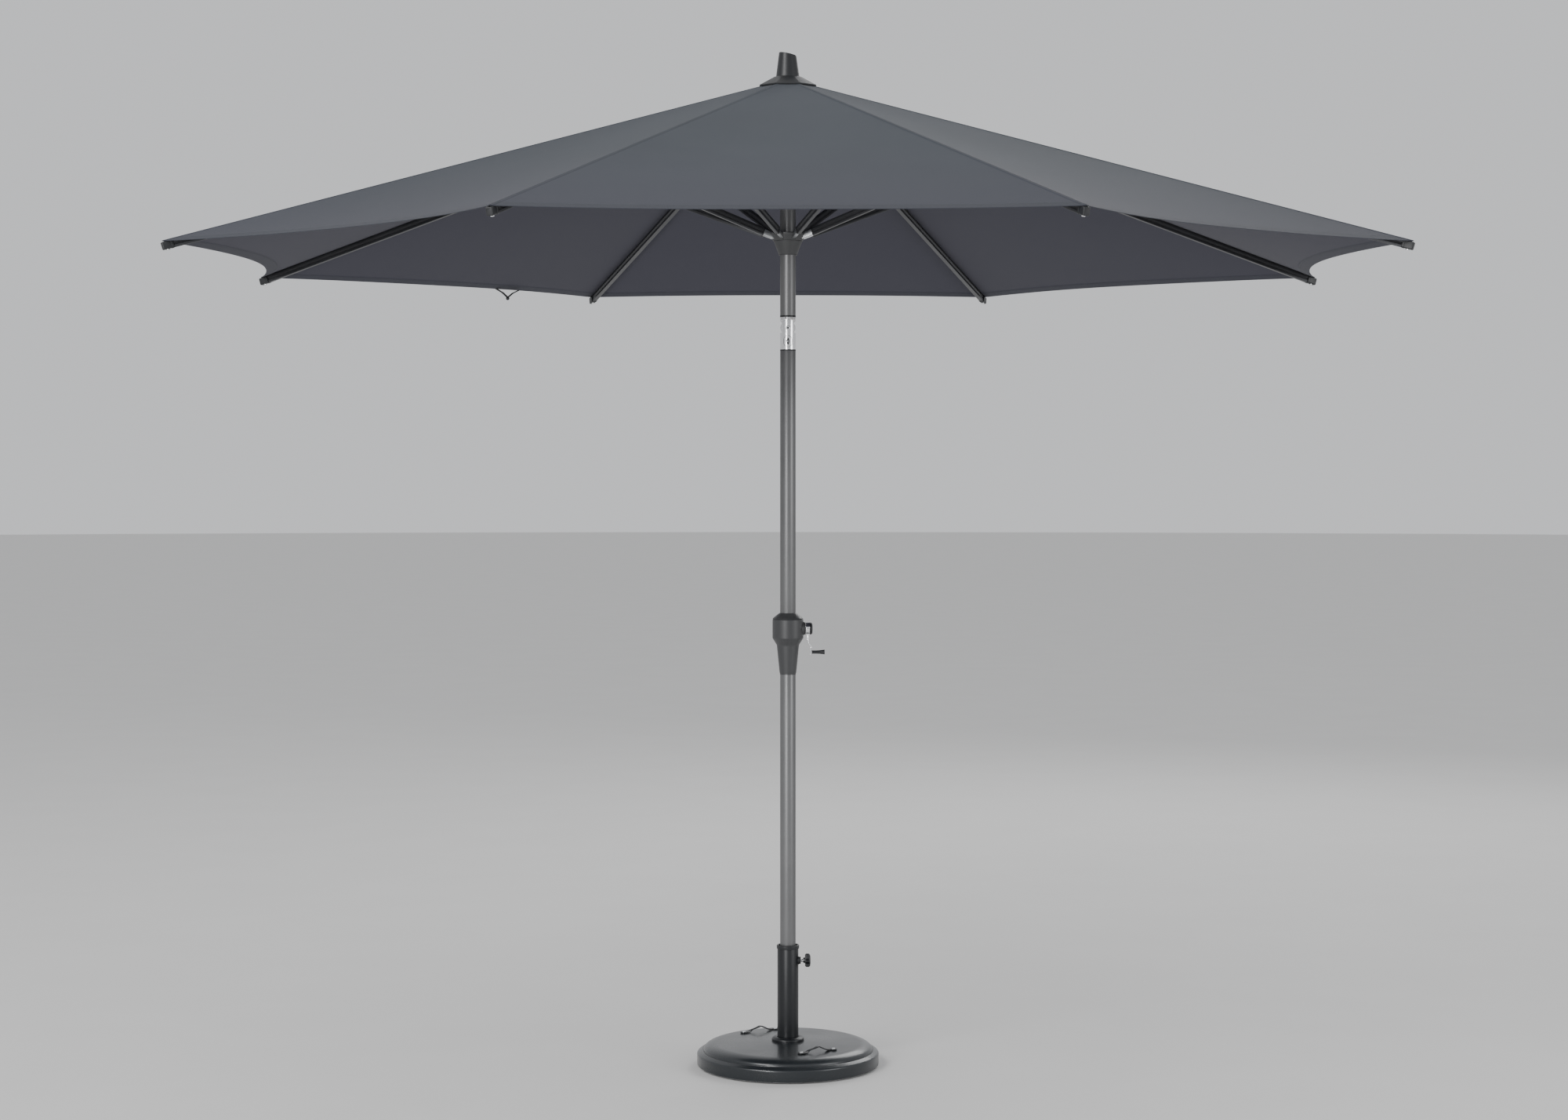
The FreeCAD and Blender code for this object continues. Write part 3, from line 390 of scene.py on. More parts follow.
def buildWeaveGroup():  # plain weave: the product of two sine waves, one along each thread direction
    tree, given, result = shaderGroup(
        "plainWeave",
        [("Vector", "NodeSocketVector", None), ("Threads", "NodeSocketFloat", 1500.0)],
        [("Height", "NodeSocketFloat"), ("Slubs", "NodeSocketFloat")],
    )
    split = link(tree, "ShaderNodeSeparateXYZ", {0: given.outputs["Vector"]})
    waves = []
    for side in ("X", "Y"):
        turn = link(tree, "ShaderNodeMath", {0: split.outputs[side], 1: given.outputs["Threads"]},
                    operation="MULTIPLY")
        angle = link(tree, "ShaderNodeMath", {0: turn.outputs[0], 1: math.pi}, operation="MULTIPLY")
        waves.append(link(tree, "ShaderNodeMath", {0: angle.outputs[0]}, operation="SINE").outputs[0])
    cross = link(tree, "ShaderNodeMath", {0: waves[0], 1: waves[1]}, operation="MULTIPLY")
    height = link(tree, "ShaderNodeMath", {0: cross.outputs[0], 1: 0.5, 2: 0.5}, operation="MULTIPLY_ADD")
    stretch = link(tree, "ShaderNodeVectorMath", {0: given.outputs["Vector"], 1: (900.0, 14.0, 1.0)},
                   operation="MULTIPLY")
    slubs = link(tree, "ShaderNodeTexNoise", {"Vector": stretch.outputs[0], "Scale": 1.0, "Detail": 2.0})
    tree.links.new(height.outputs[0], result.inputs["Height"])
    tree.links.new(slubs.outputs["Fac"], result.inputs["Slubs"])
    return tree


groups = {"grain": buildGrainGroup(), "wear": buildWearGroup(), "dust": buildDustGroup(),
          "weave": buildWeaveGroup()}


def newFinish(name):
    finish = bpy.data.materials.new(name)
    finish.use_nodes = True
    tree = finish.node_tree
    return finish, tree, tree.nodes["Principled BSDF"], tree.nodes.new("ShaderNodeTexCoord")


def mixed(tree, share, first, second):  # colour blend
    made = link(tree, "ShaderNodeMix", data_type="RGBA")
    for key, value in ((0, share), (6, first), (7, second)):
        if isinstance(value, bpy.types.NodeSocket):
            tree.links.new(value, made.inputs[key])
        else:
            made.inputs[key].default_value = value if key == 0 else (*value, 1)
    return made.outputs[2]


def remapped(tree, value, low, high, fromLow=0.25, fromHigh=0.75):
    return link(tree, "ShaderNodeMapRange", {
        0: value, "From Min": fromLow, "From Max": fromHigh, "To Min": low, "To Max": high}).outputs[0]


def groupNode(tree, group, vector, setting, value):
    placedGroup = link(tree, "ShaderNodeGroup", node_tree=groups[group])
    placedGroup.inputs[setting].default_value = value
    tree.links.new(vector, placedGroup.inputs["Vector"])
    return placedGroup


def hardFinish(name, look):
    # colour drifts with a broad cloud, specks and rubbed edges lighten it, dust dulls it, grain drives
    # roughness and bump
    finish, tree, shader, place = newFinish(name)
    vector = place.outputs["Object"]
    if "stretch" in look:  # brushed: the grain is drawn out along one direction
        vector = link(tree, "ShaderNodeMapping", {"Vector": vector, "Scale": look["stretch"]}).outputs[0]
    grain = groupNode(tree, "grain", vector, "Scale", look["grain"])
    wear = groupNode(tree, "wear", place.outputs["Object"], "Amount", look["wear"])
    dust = groupNode(tree, "dust", place.outputs["Object"], "Amount", look["dust"])
    colour = np.array(look["colour"])
    drift = look["drift"]
    cloud = remapped(tree, grain.outputs["Cloud"], 0, 1)
    base = mixed(tree, cloud, colour * (1 - drift), colour * (1 + drift))
    base = mixed(tree, grain.outputs["Specks"], base, np.minimum(colour * look["speck"] + 0.01, 1))
    base = mixed(tree, wear.outputs["Mask"], base, look["rubbed"])
    base = mixed(tree, dust.outputs["Mask"], base, (0.32, 0.30, 0.27))
    tree.links.new(base, shader.inputs["Base Color"])
    rough = look["rough"]
    spread = look["roughSpread"]
    roughness = remapped(tree, grain.outputs["Cloud"], rough - spread, rough + spread)
    grit = link(tree, "ShaderNodeMath", {0: grain.outputs["Grain"], 1: spread, 2: roughness},
                operation="MULTIPLY_ADD")
    dull = link(tree, "ShaderNodeMath", {0: dust.outputs["Mask"], 1: 0.3, 2: grit.outputs[0]},
                operation="MULTIPLY_ADD")
    tree.links.new(dull.outputs[0], shader.inputs["Roughness"])
    shader.inputs["Metallic"].default_value = look["metal"]
    shader.inputs["Coat Weight"].default_value = look.get("coat", 0)
    shader.inputs["Coat Roughness"].default_value = 0.12
    bump = link(tree, "ShaderNodeBump", {
        "Height": grain.outputs["Grain"], "Strength": look["bump"], "Distance": look["depth"]})
    tree.links.new(bump.outputs[0], shader.inputs["Normal"])
    return finish


finishes = {
    "poleCoat": dict(colour=(0.150, 0.151, 0.153), drift=0.10, speck=2.4, rubbed=(0.30, 0.30, 0.30),
                     wear=0.25, dust=0.0, rough=0.36, roughSpread=0.05, metal=0.55, grain=1500.0,
                     bump=0.10, depth=0.0004),
    "frameCoat": dict(colour=(0.045, 0.046, 0.050), drift=0.18, speck=2.2, rubbed=(0.30, 0.31, 0.32),
                      wear=0.7, dust=0.1, rough=0.34, roughSpread=0.06, metal=0.60, grain=1400.0,
                      bump=0.10, depth=0.0003),
    "housing": dict(colour=(0.040, 0.041, 0.043), drift=0.10, speck=1.8, rubbed=(0.12, 0.12, 0.12),
                    wear=0.4, dust=0.12, rough=0.42, roughSpread=0.06, metal=0.0, grain=1100.0, bump=0.16,
                    depth=0.0004),
    "blackPlastic": dict(colour=(0.008, 0.009, 0.011), drift=0.15, speck=1.6, rubbed=(0.09, 0.09, 0.09),
                         wear=0.5, dust=0.10, rough=0.38, roughSpread=0.07, metal=0.0, grain=1200.0,
                         bump=0.14, depth=0.0004),
    "slateCoat": dict(colour=(0.012, 0.015, 0.018), drift=0.16, speck=2.6, rubbed=(0.10, 0.11, 0.12),
                      wear=0.2, dust=0.03, rough=0.27, roughSpread=0.06, metal=0.15, grain=420.0,
                      bump=0.22, depth=0.0007, coat=0.25),
    "stemCoat": dict(colour=(0.009, 0.010, 0.012), drift=0.12, speck=2.2, rubbed=(0.14, 0.15, 0.16),
                     wear=0.3, dust=0.04, rough=0.34, roughSpread=0.05, metal=0.15, grain=700.0, bump=0.16,
                     depth=0.0005),
    "polishedAlloy": dict(colour=(0.78, 0.78, 0.79), drift=0.06, speck=0.8, rubbed=(0.95, 0.95, 0.95),
                          wear=0.4, dust=0.0, rough=0.20, roughSpread=0.05, metal=1.0, grain=500.0,
                          bump=0.05, depth=0.0003, stretch=(1.0, 1.0, 0.12)),
    "chromePlate": dict(colour=(0.82, 0.83, 0.84), drift=0.04, speck=0.9, rubbed=(0.9, 0.9, 0.9), wear=0.2,
                        dust=0.0, rough=0.10, roughSpread=0.03, metal=1.0, grain=700.0, bump=0.03,
                        depth=0.0002),
    "zincSteel": dict(colour=(0.50, 0.51, 0.52), drift=0.15, speck=1.3, rubbed=(0.7, 0.7, 0.7), wear=0.3,
                      dust=0.05, rough=0.35, roughSpread=0.08, metal=1.0, grain=900.0, bump=0.08,
                      depth=0.0003),
    "nylon": dict(colour=(0.060, 0.061, 0.064), drift=0.10, speck=1.4, rubbed=(0.12, 0.12, 0.12), wear=0.2,
                  dust=0.05, rough=0.45, roughSpread=0.06, metal=0.0, grain=900.0, bump=0.10, depth=0.0003),
    "rubber": dict(colour=(0.018, 0.018, 0.018), drift=0.2, speck=1.8, rubbed=(0.06, 0.06, 0.06), wear=0.4,
                   dust=0.2, rough=0.75, roughSpread=0.08, metal=0.0, grain=600.0, bump=0.3, depth=0.0006),
    "concrete": dict(colour=(0.42, 0.41, 0.39), drift=0.25, speck=0.5, rubbed=(0.5, 0.5, 0.48), wear=0.2,
                     dust=0.2, rough=0.85, roughSpread=0.06, metal=0.0, grain=220.0, bump=0.6, depth=0.002),
}
made = {name: hardFinish(name, look) for name, look in finishes.items()}


def clothFinish(name, look):
    # plain weave and slubs from the cloth's own map, with painted shade in the thread gaps; painted shade
    # along the turned hem's edge and beside the seam, from the edge map
    finish, tree, shader, place = newFinish(name)
    cloth = link(tree, "ShaderNodeUVMap", uv_map="weave").outputs[0]
    weave = groupNode(tree, "weave", cloth, "Threads", look["threads"])
    colour = np.array(look["colour"])
    fade = link(tree, "ShaderNodeTexNoise", {
        "Vector": place.outputs["Object"], "Scale": look["fadeScale"], "Detail": 3.0, "Roughness": 0.5})
    base = mixed(tree, remapped(tree, fade.outputs["Fac"], 0, 1, 0.3, 0.7), colour * 0.93, colour * 1.07)
    base = mixed(tree, remapped(tree, weave.outputs["Slubs"], 0, look["slubs"], 0.35, 0.8), base,
                 colour * 1.5)
    # painted shade: the low points of the weave, the gaps between threads, are darkened
    base = mixed(tree, remapped(tree, weave.outputs["Height"], look["gaps"], 0, 0.0, 0.45), base,
                 colour * 0.45)
    if "inside" in look:  # the colour shifts purpler towards the hem; painted light and shade: the underside takes its own purpler colour, standing in for the shade under the canopy and the light that comes through the cloth
        edges = link(tree, "ShaderNodeSeparateXYZ",
                     {0: link(tree, "ShaderNodeUVMap", uv_map="edges").outputs[0]})
        base = mixed(tree, remapped(tree, edges.outputs["Y"], 0.7, 0, 0.05, 0.60), base, look["low"])
        # painted light and shade: the underside's own colour
        inner = link(tree, "ShaderNodeAttribute", attribute_name="inside").outputs["Fac"]
        base = mixed(tree, inner, base, look["inside"])
        hem = remapped(tree, edges.outputs["Y"], look["hemShade"], 0, look["hem"] - 0.0015,
                       look["hem"] + 0.0015)
        base = mixed(tree, hem, base, colour * 0.62)
        seam = remapped(tree, edges.outputs["X"], look["seamShade"], 0, 0.0004, 0.0016)
        base = mixed(tree, seam, base, colour * 0.35)
    tree.links.new(base, shader.inputs["Base Color"])
    roughness = remapped(tree, weave.outputs["Height"], look["rough"] + 0.08, look["rough"] - 0.04, 0, 1)
    tree.links.new(roughness, shader.inputs["Roughness"])
    shader.inputs["Sheen Weight"].default_value = look["sheen"]
    shader.inputs["Sheen Roughness"].default_value = 0.4
    shader.inputs["Specular IOR Level"].default_value = 0.25
    ripple = link(tree, "ShaderNodeTexNoise", {
        "Vector": place.outputs["Object"], "Scale": 9.0, "Detail": 2.0, "Roughness": 0.4})
    soft = link(tree, "ShaderNodeBump", {"Height": ripple.outputs["Fac"], "Strength": 0.25,
                                         "Distance": 0.004})
    bump = link(tree, "ShaderNodeBump", {
        "Height": weave.outputs["Height"], "Strength": look["bump"], "Distance": 0.00025,
        "Normal": soft.outputs[0]})
    tree.links.new(bump.outputs[0], shader.inputs["Normal"])
    return finish


made["canopyCloth"] = clothFinish("canopyCloth", dict(
    colour=(0.043, 0.050, 0.062), inside=(0.050, 0.050, 0.067), threads=1400.0, fadeScale=2.2, slubs=0.10,
    gaps=0.30, rough=0.82, sheen=0.05, bump=0.35, hem=0.030, hemShade=0.35, seamShade=0.55,
    low=(0.046, 0.047, 0.062)))
made["webbing"] = clothFinish("webbing", dict(
    colour=(0.014, 0.014, 0.016), threads=700.0, fadeScale=40.0, slubs=0.3, gaps=0.5, rough=0.85,
    sheen=0.1, bump=0.6))
made["thread"] = clothFinish("thread", dict(
    colour=(0.045, 0.050, 0.062), threads=2600.0, fadeScale=60.0, slubs=0.2, gaps=0.4, rough=0.7,
    sheen=0.2, bump=0.3))
print("finishes made")

# The frame's own parts keep their shape and take a finish by the record's slot
slotFinish = {
    "base_slate": "slateCoat", "concrete": "concrete", "steel": "zincSteel", "rubber": "rubber",
    "pole_powder": "poleCoat", "black_plastic": "blackPlastic", "nylon": "nylon",
    "bright_steel": "chromePlate", "bright_alloy": "polishedAlloy",
    "dark_housing": "housing", "frame_powder": "frameCoat", "canopy_cloth": "canopyCloth",
    "cord": "webbing", "webbing": "webbing",
}
for part in frame["record"]["subparts"]:
    target = nodes[part["node"]]
    target.data.materials.clear()
    target.data.materials.append(made[slotFinish[part["material_slot"]]])

canopy = {
    "radius": umbrella["radius"], "hemMiddle": 1.296, "hemSag": 0.028, "hole": 0.034,
    "aboveRib": 0.0118,      # rib axis to the cloth's middle
    "half": 0.0004,          # half the cloth's thickness
    "seamWidth": 0.0065, "seamRise": 0.0007, "hemWidth": 0.030, "hemRise": 0.0008, "hemRound": 0.0015,
    "columns": 36, "rows": 56, "closedOut": 0.060, "stitch": 0.0046, "stitchLength": 0.0033,
    "thread": 0.00035,
}
sinHalf, cosHalf = math.sin(halfGore), math.cos(halfGore)


def goreSurface(number, side, along, apart):
    # along runs 0 to 1 from the apex to the hem, apart is metres from the rib. In plan the hem is a
    # parabola between two tips: reach = along (hemMiddle + (tip - hemMiddle) across squared), where across
    # is 0 at the gore's middle and 1 at the rib. Height falls with the rib's slope, less a sag of hemSag
    # along^1.5 (1 - across squared).
    c = canopy
    width = c["radius"] * sinHalf * along
    across = 1 - apart / width
    reach = along * (c["hemMiddle"] + (c["radius"] * cosHalf - c["hemMiddle"]) * across ** 2)
    z = hubPinZ - (reach / cosHalf - pinCircle) * math.tan(slope) + c["aboveRib"] / math.cos(slope)
    z = z - c["hemSag"] * along ** 1.5 * (1 - across ** 2)
    angle = ribAzimuth(number) + side * halfGore
    offset = -side * width * across
    x = reach * math.cos(angle) - offset * math.sin(angle)
    y = reach * math.sin(angle) + offset * math.cos(angle)
    z = z + 0.0012 * along * (1 - across ** 2) * np.sin(5.1 * x + 1.3) * np.sin(4.3 * y + 0.4)
    return np.stack([x, y, z], -1), np.stack([offset, reach / math.cos(slope)], -1)


def goreNormal(number, side, along, apart):
    step = 1e-4
    here, _ = goreSurface(number, side, along, apart)
    there = goreSurface(number, side, along - step, apart)[0] - here
    beside = goreSurface(number, side, along, apart + step)[0] - here
    normal = unit(np.cross(there, beside))
    return normal * np.sign(normal[..., 2:])


def stitches(points, normals, spacing, length, radius):
    # dashes along a line: each is three square rings, the middle one widest, lying on the cloth
    gone = np.concatenate([[0], np.cumsum(np.linalg.norm(np.diff(points, axis=0), axis=1))])
    middle = np.arange(spacing, gone[-1] - spacing / 2, spacing)
    at = np.stack([middle - length / 2, middle, middle + length / 2], 1)
    place = np.stack([np.interp(at, gone, points[:, k]) for k in range(3)], -1)
    up = unit(np.stack([np.interp(at, gone, normals[:, k]) for k in range(3)], -1))
    along = unit(place[:, 2:] - place[:, :1])
    across = np.cross(up, along)
    size = radius * np.array([0.45, 1.0, 0.45])[None, :, None, None]
    t = np.linspace(0, 2 * math.pi, 4, endpoint=False) + math.pi / 4
    ring = across[:, :, None] * np.cos(t)[:, None] * 1.3 + up[:, :, None] * np.sin(t)[:, None]
    rings = (place[:, :, None] + size * ring).reshape(-1, 3)
    one = gridFaces(3, 4, False, True).tolist() + [[0, 1, 2, 3], [11, 10, 9, 8]]
    faces = [[n + 12 * k for n in face] for k in range(len(middle)) for face in one]
    if len(middle) and signedVolume(rings[:12], one) < 0:
        faces = [face[::-1] for face in faces]
    return rings, faces


def halfGorePiece(number, side):
    c = canopy
    edge = np.array([0, 0.0005, c["hemRound"], 0.006, 0.014, 0.022, 0.0288, c["hemWidth"], 0.0312, 0.036])
    reachMean = (c["hemMiddle"] + c["radius"] * cosHalf) / 2
    first = c["hole"] / c["radius"]
    along = np.concatenate([np.linspace(first, 1 - edge[-1] / reachMean, c["rows"])[:-1],
                            1 - edge[::-1] / reachMean])
    fromHem = (1 - along) * reachMean
    width = c["radius"] * sinHalf * along[:, None]
    near = np.array([0, 0.002, 0.005, c["seamWidth"] - 0.0005, c["seamWidth"] + 0.0005, 0.010])
    near = near * np.minimum(1, width / 0.02)
    rest = near[:, -1:] + (width - near[:, -1:]) * np.linspace(0, 1, c["columns"])[1:]
    apart = np.concatenate([near, rest], 1)
    along = np.broadcast_to(along[:, None], apart.shape)
    middle, weave = goreSurface(number, side, along, apart)
    normal = goreNormal(number, side, along, apart)
    lip = np.sqrt(np.clip(1 - (1 - np.minimum(fromHem / c["hemRound"], 1)) ** 2, 0, 1))[:, None]
    seam = np.clip((c["seamWidth"] + 0.0005 - apart) / 0.001, 0, 1)
    hem = np.clip((c["hemWidth"] + 0.0006 - fromHem[:, None]) / 0.0012, 0, 1)
    outer = middle + normal * (lip * (c["half"] + c["seamRise"] * seam))[..., None]
    inner = middle - normal * (lip * (c["half"] + c["hemRise"] * hem))[..., None]
    loop = np.concatenate([outer, inner[-2::-1]])
    rows, columns = loop.shape[:2]
    count = len(outer)
    faces = gridFaces(rows, columns, True, False).tolist()
    for column, turn in ((0, 1), (columns - 1, -1)):  # the walls along the rib and along the gore's middle
        for r in range(count - 1):
            wall = [r, r + 1, rows - 1 - (r + 1), rows - 1 - r] if r < count - 2 else [r, r + 1,
                                                                                       rows - 1 - r]
            faces.append([n * columns + column for n in wall[::turn]])
    shellPoints = loop.reshape(-1, 3)
    lines = []
    t = np.linspace(0, 1, 400)
    down = first + 0.06 + (1 - first - 0.062) * t
    for path, apartLine, lift in (
        (down, np.full(400, c["seamWidth"] - 0.0015), c["half"] + c["seamRise"]),
        (np.full(400, 1 - (c["hemWidth"] - 0.002) / reachMean),
         0.012 + (c["radius"] * sinHalf - 0.035) * t, c["half"]),
        (np.full(400, 1 - (c["hemWidth"] - 0.002) / reachMean), 0.012 + (c["radius"] * sinHalf - 0.035) * t,
         -c["half"] - c["hemRise"]),
    ):
        up = goreNormal(number, side, path, apartLine)
        line = goreSurface(number, side, path, apartLine)[0] + up * lift
        lines.append(stitches(line, up, c["stitch"], c["stitchLength"], c["thread"]) + (1,))
    name = f"canopyGore{number}{'Left' if side > 0 else 'Right'}"
    piece = make(name, [(shellPoints, faces)] + lines, [made["canopyCloth"], made["thread"]],
                 f"rib_{number}", [f"canopy_panel_{number}"], sharp=60)
    mesh = piece.data
    total = len(mesh.vertices)
    # the underside's points, which take the painted underside light and shade
    inside = np.zeros(total)
    inside[count * columns:len(shellPoints)] = 1
    mesh.attributes.new("inside", "FLOAT", "POINT").data.foreach_set("value", inside)
    corner = np.zeros(len(mesh.loops), np.int32)
    mesh.loops.foreach_get("vertex_index", corner)
    edges = np.stack([apart, np.broadcast_to(fromHem[:, None], apart.shape)], -1)
    for label, values in (("weave", weave), ("edges", edges)):
        both = np.concatenate([values, values[-2::-1]]).reshape(-1, 2)
        both = np.concatenate([both, np.full((total - len(both), 2), 0.1)])
        mesh.uv_layers.new(name=label).data.foreach_set("uv", both[corner].ravel())
    # With the ribs down, the gore's middle has to meet its neighbour's on the plane halfway between the two
    # ribs. Here the rib's frame is only looked up and the piece gets its own copy of its mesh; the cloth is
    # not pressed.
    matrix = ribFrame(number)
    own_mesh(piece)
    return piece


for number in range(1, umbrella["ribs"] + 1):
    for side in (1, -1):
        halfGorePiece(number, side)
print("canopy sewn")

extrusion = {
    "ribWidth": 0.012, "ribHeight": 0.018, "strutWidth": 0.010, "strutHeight": 0.019, "groove": 0.0010,
    "share": 0.34, "corner": 0.0011, "flutes": 5, "fluteDepth": 0.00018, "ribTongue": 0.024,
    "strutTongue": 0.028, "shoulder": 0.003,
    "tongueHalf": 0.0065, "tongueThick": 0.008, "pin": 0.0025, "tipLength": 0.022, "tipWidth": 0.015,
    "bracketHalf": 0.014, "sheet": 0.0025, "eye": 0.008,
}


def groovedOutline(width, height):  # rounded rectangle with a shallow fluted groove down each side
    e = extrusion
    w, h, m, g = width / 2, height / 2, height * e["share"] / 2, e["groove"]
    count = e["flutes"] * 8 + 1
    z = np.linspace(-m + g * 0.6, m - g * 0.6, count)
    flute = w - g + e["fluteDepth"] * np.sin(np.linspace(0, 2 * math.pi * e["flutes"], count)) ** 2
    corners = [(w - 0.003, -h, 0), (w, -h, e["corner"]), (w, -m, 0.0003), (w - g, -m + g * 0.5, 0.0002)]
    low = rounded(corners + [(w - g, 0)], steps=5)[:-1]
    sideLine = np.concatenate([low, np.column_stack([flute, z]), (low * [1, -1])[::-1]])
    return np.concatenate([sideLine, -sideLine])


def tongueOutline(length, nose):  # round nose about the pin, then straight sides
    t = np.linspace(math.pi / 2, 3 * math.pi / 2, 24)
    half = extrusion["tongueHalf"]
    arc = np.column_stack([nose * np.cos(t), nose * np.sin(t)])
    return np.concatenate([arc, [[length, -half], [length, half]]])


def pinShell(x, z, reach, radius):  # a pin with a domed head at each end, across the rib
    head = radius * 1.5
    profile = rounded([(0, -reach), (head, -reach, 0.0008), (head, -reach + 0.0014, 0.0003),
                       (radius, -reach + 0.0014), (radius, reach - 0.0014), (head, reach - 0.0014, 0.0003),
                       (head, reach, 0.0008), (0, reach)])
    return placed(lathe(profile, 28), axes([x, 0, z], [1, 0, 0], [0, 0, 1], [0, -1, 0]))


def armPieces(number):
    e = {**extrusion, **umbrella}
    rib, strut = ribFrame(number), strutFrame(number)
    body, strutBody = f"rib_{number}", f"strut_{number}"
    start, end = e["ribTongue"] + e["shoulder"], ribLength - e["tipLength"]
    outline = groovedOutline(e["ribWidth"], e["ribHeight"])
    make(f"ribTube{number}", [placed(placed(prism(outline, start, end, 0.0004), lengthways()), rib)],
         made["frameCoat"], body, [f"rib_{number}"], sharp=30)
    half = e["tongueThick"] / 2
    tongue = placed(prism(tongueOutline(start, e["tongueHalf"] + 0.0005), -half, half, 0.0007), sideways())
    block = roundedBox(e["ribWidth"] / 2, e["ribHeight"] / 2, 0.0012, 0.0012)
    collar = placed(prism(block, e["ribTongue"], start, 0.0005), lengthways())
    make(f"ribFitting{number}", [placed(tongue, rib), placed(collar, rib) + (1,)],
         [made["zincSteel"], made["frameCoat"]], body)
    w, h = e["tipWidth"] / 2, e["ribHeight"] / 2
    cap = roundedBox(w, h, 0.003, 0.002)
    tip = placed(prism(cap, end - 0.004, ribLength, 0.0028, 6), lengthways())
    band = placed(prism(insetOutline(cap, -0.0007), end - 0.004, end + 0.002, 0.0006), lengthways())
    stud = placed(lathe(rounded([(0, -h - 0.0026), (0.0042, -h - 0.0026, 0.0012), (0.0042, -h + 0.001),
                                 (0, -h + 0.001)]),
                        32), axes([end + 0.010, 0, 0], [1, 0, 0], [0, 1, 0], [0, 0, 1]))
    make(f"ribTip{number}", [placed(tip, rib), placed(band, rib)], made["blackPlastic"], body)
    make(f"ribTipStud{number}", [placed(stud, rib)], made["chromePlate"], body)
    inner = e["ribWidth"] / 2 + 0.00005
    under = -e["ribHeight"] / 2 - 0.00005
    x0, x1 = e["bracketAt"] - e["bracketHalf"], e["bracketAt"] + e["bracketHalf"]
    t = np.linspace(math.radians(200), math.radians(340), 14)
    nose = np.column_stack([e["bracketAt"] + e["eye"] * np.cos(t),
                            -e["bracketDrop"] + e["eye"] * np.sin(t)])
    ear = np.concatenate([[(x1, under / 3), (x0, under / 3), (x0, under - e["sheet"])], nose,
                          [(x1, under - e["sheet"])]])
    ears = [placed(prism(ear, s * (inner + e["sheet"] / 2) - e["sheet"] / 2,
                         s * (inner + e["sheet"] / 2) + e["sheet"] / 2, 0.0006), sideways())
            for s in (-1, 1)]
    out = inner + e["sheet"] - 0.0003
    bridge = np.array([(-out, under - e["sheet"]), (out, under - e["sheet"]), (out, under), (-out, under)])
    saddle = placed(prism(bridge, x0 + 0.001, x1 - 0.001, 0.0005), lengthways())
    make(f"strutBracket{number}", [placed(p, rib) for p in ears + [saddle]], made["frameCoat"], body)
    rivets = [pinShell(e["bracketAt"], -e["bracketDrop"], inner + e["sheet"] + 0.0014, e["pin"]),
              pinShell(e["bracketAt"], under / 3 - 0.0018, inner + e["sheet"] + 0.0010, 0.0018)]
    make(f"bracketPins{number}", [placed(p, rib) for p in rivets], made["zincSteel"], body)

    eyeStart = linkLength - 2.6 * e["eye"]
    sStart = e["strutTongue"] + e["shoulder"]
    strutLine = groovedOutline(e["strutWidth"], e["strutHeight"])
    make(f"strutTube{number}", [placed(placed(prism(strutLine, sStart, eyeStart, 0.0004), lengthways()),
                                       strut)],
         made["frameCoat"], strutBody, [f"strut_{number}"], sharp=30)
    tongue = placed(prism(tongueOutline(sStart, e["tongueHalf"]), -half, half, 0.0007), sideways())
    block = roundedBox(e["strutWidth"] / 2, e["strutHeight"] / 2, 0.0012, 0.0012)
    collar = placed(prism(block, e["strutTongue"], sStart, 0.0005), lengthways())
    eyeHalf = e["ribWidth"] / 2 - 0.0003
    t = np.linspace(-math.pi / 2, math.pi / 2, 24)
    eyeLine = np.column_stack([linkLength + e["eye"] * np.cos(t), e["eye"] * np.sin(t)])
    eyeLine = np.concatenate([eyeLine, [(eyeStart, e["eye"]), (eyeStart, -e["eye"])]])
    eye = placed(prism(eyeLine, -eyeHalf, eyeHalf, 0.0010), sideways())
    make(f"strutTongue{number}", [placed(tongue, strut), placed(collar, strut) + (1,)],
         [made["zincSteel"], made["frameCoat"]], strutBody)
    make(f"strutEye{number}", [placed(eye, strut)], made["blackPlastic"], strutBody)


for number in range(1, umbrella["ribs"] + 1):
    armPieces(number)
print("ribs and struts made")

tieStrap = {"across": 0.32, "half": 0.040, "fall": 0.022, "width": 0.010, "sheet": 0.0012, "bead": 0.0052,
            "in": 0.012, "belowHem": 0.0015}


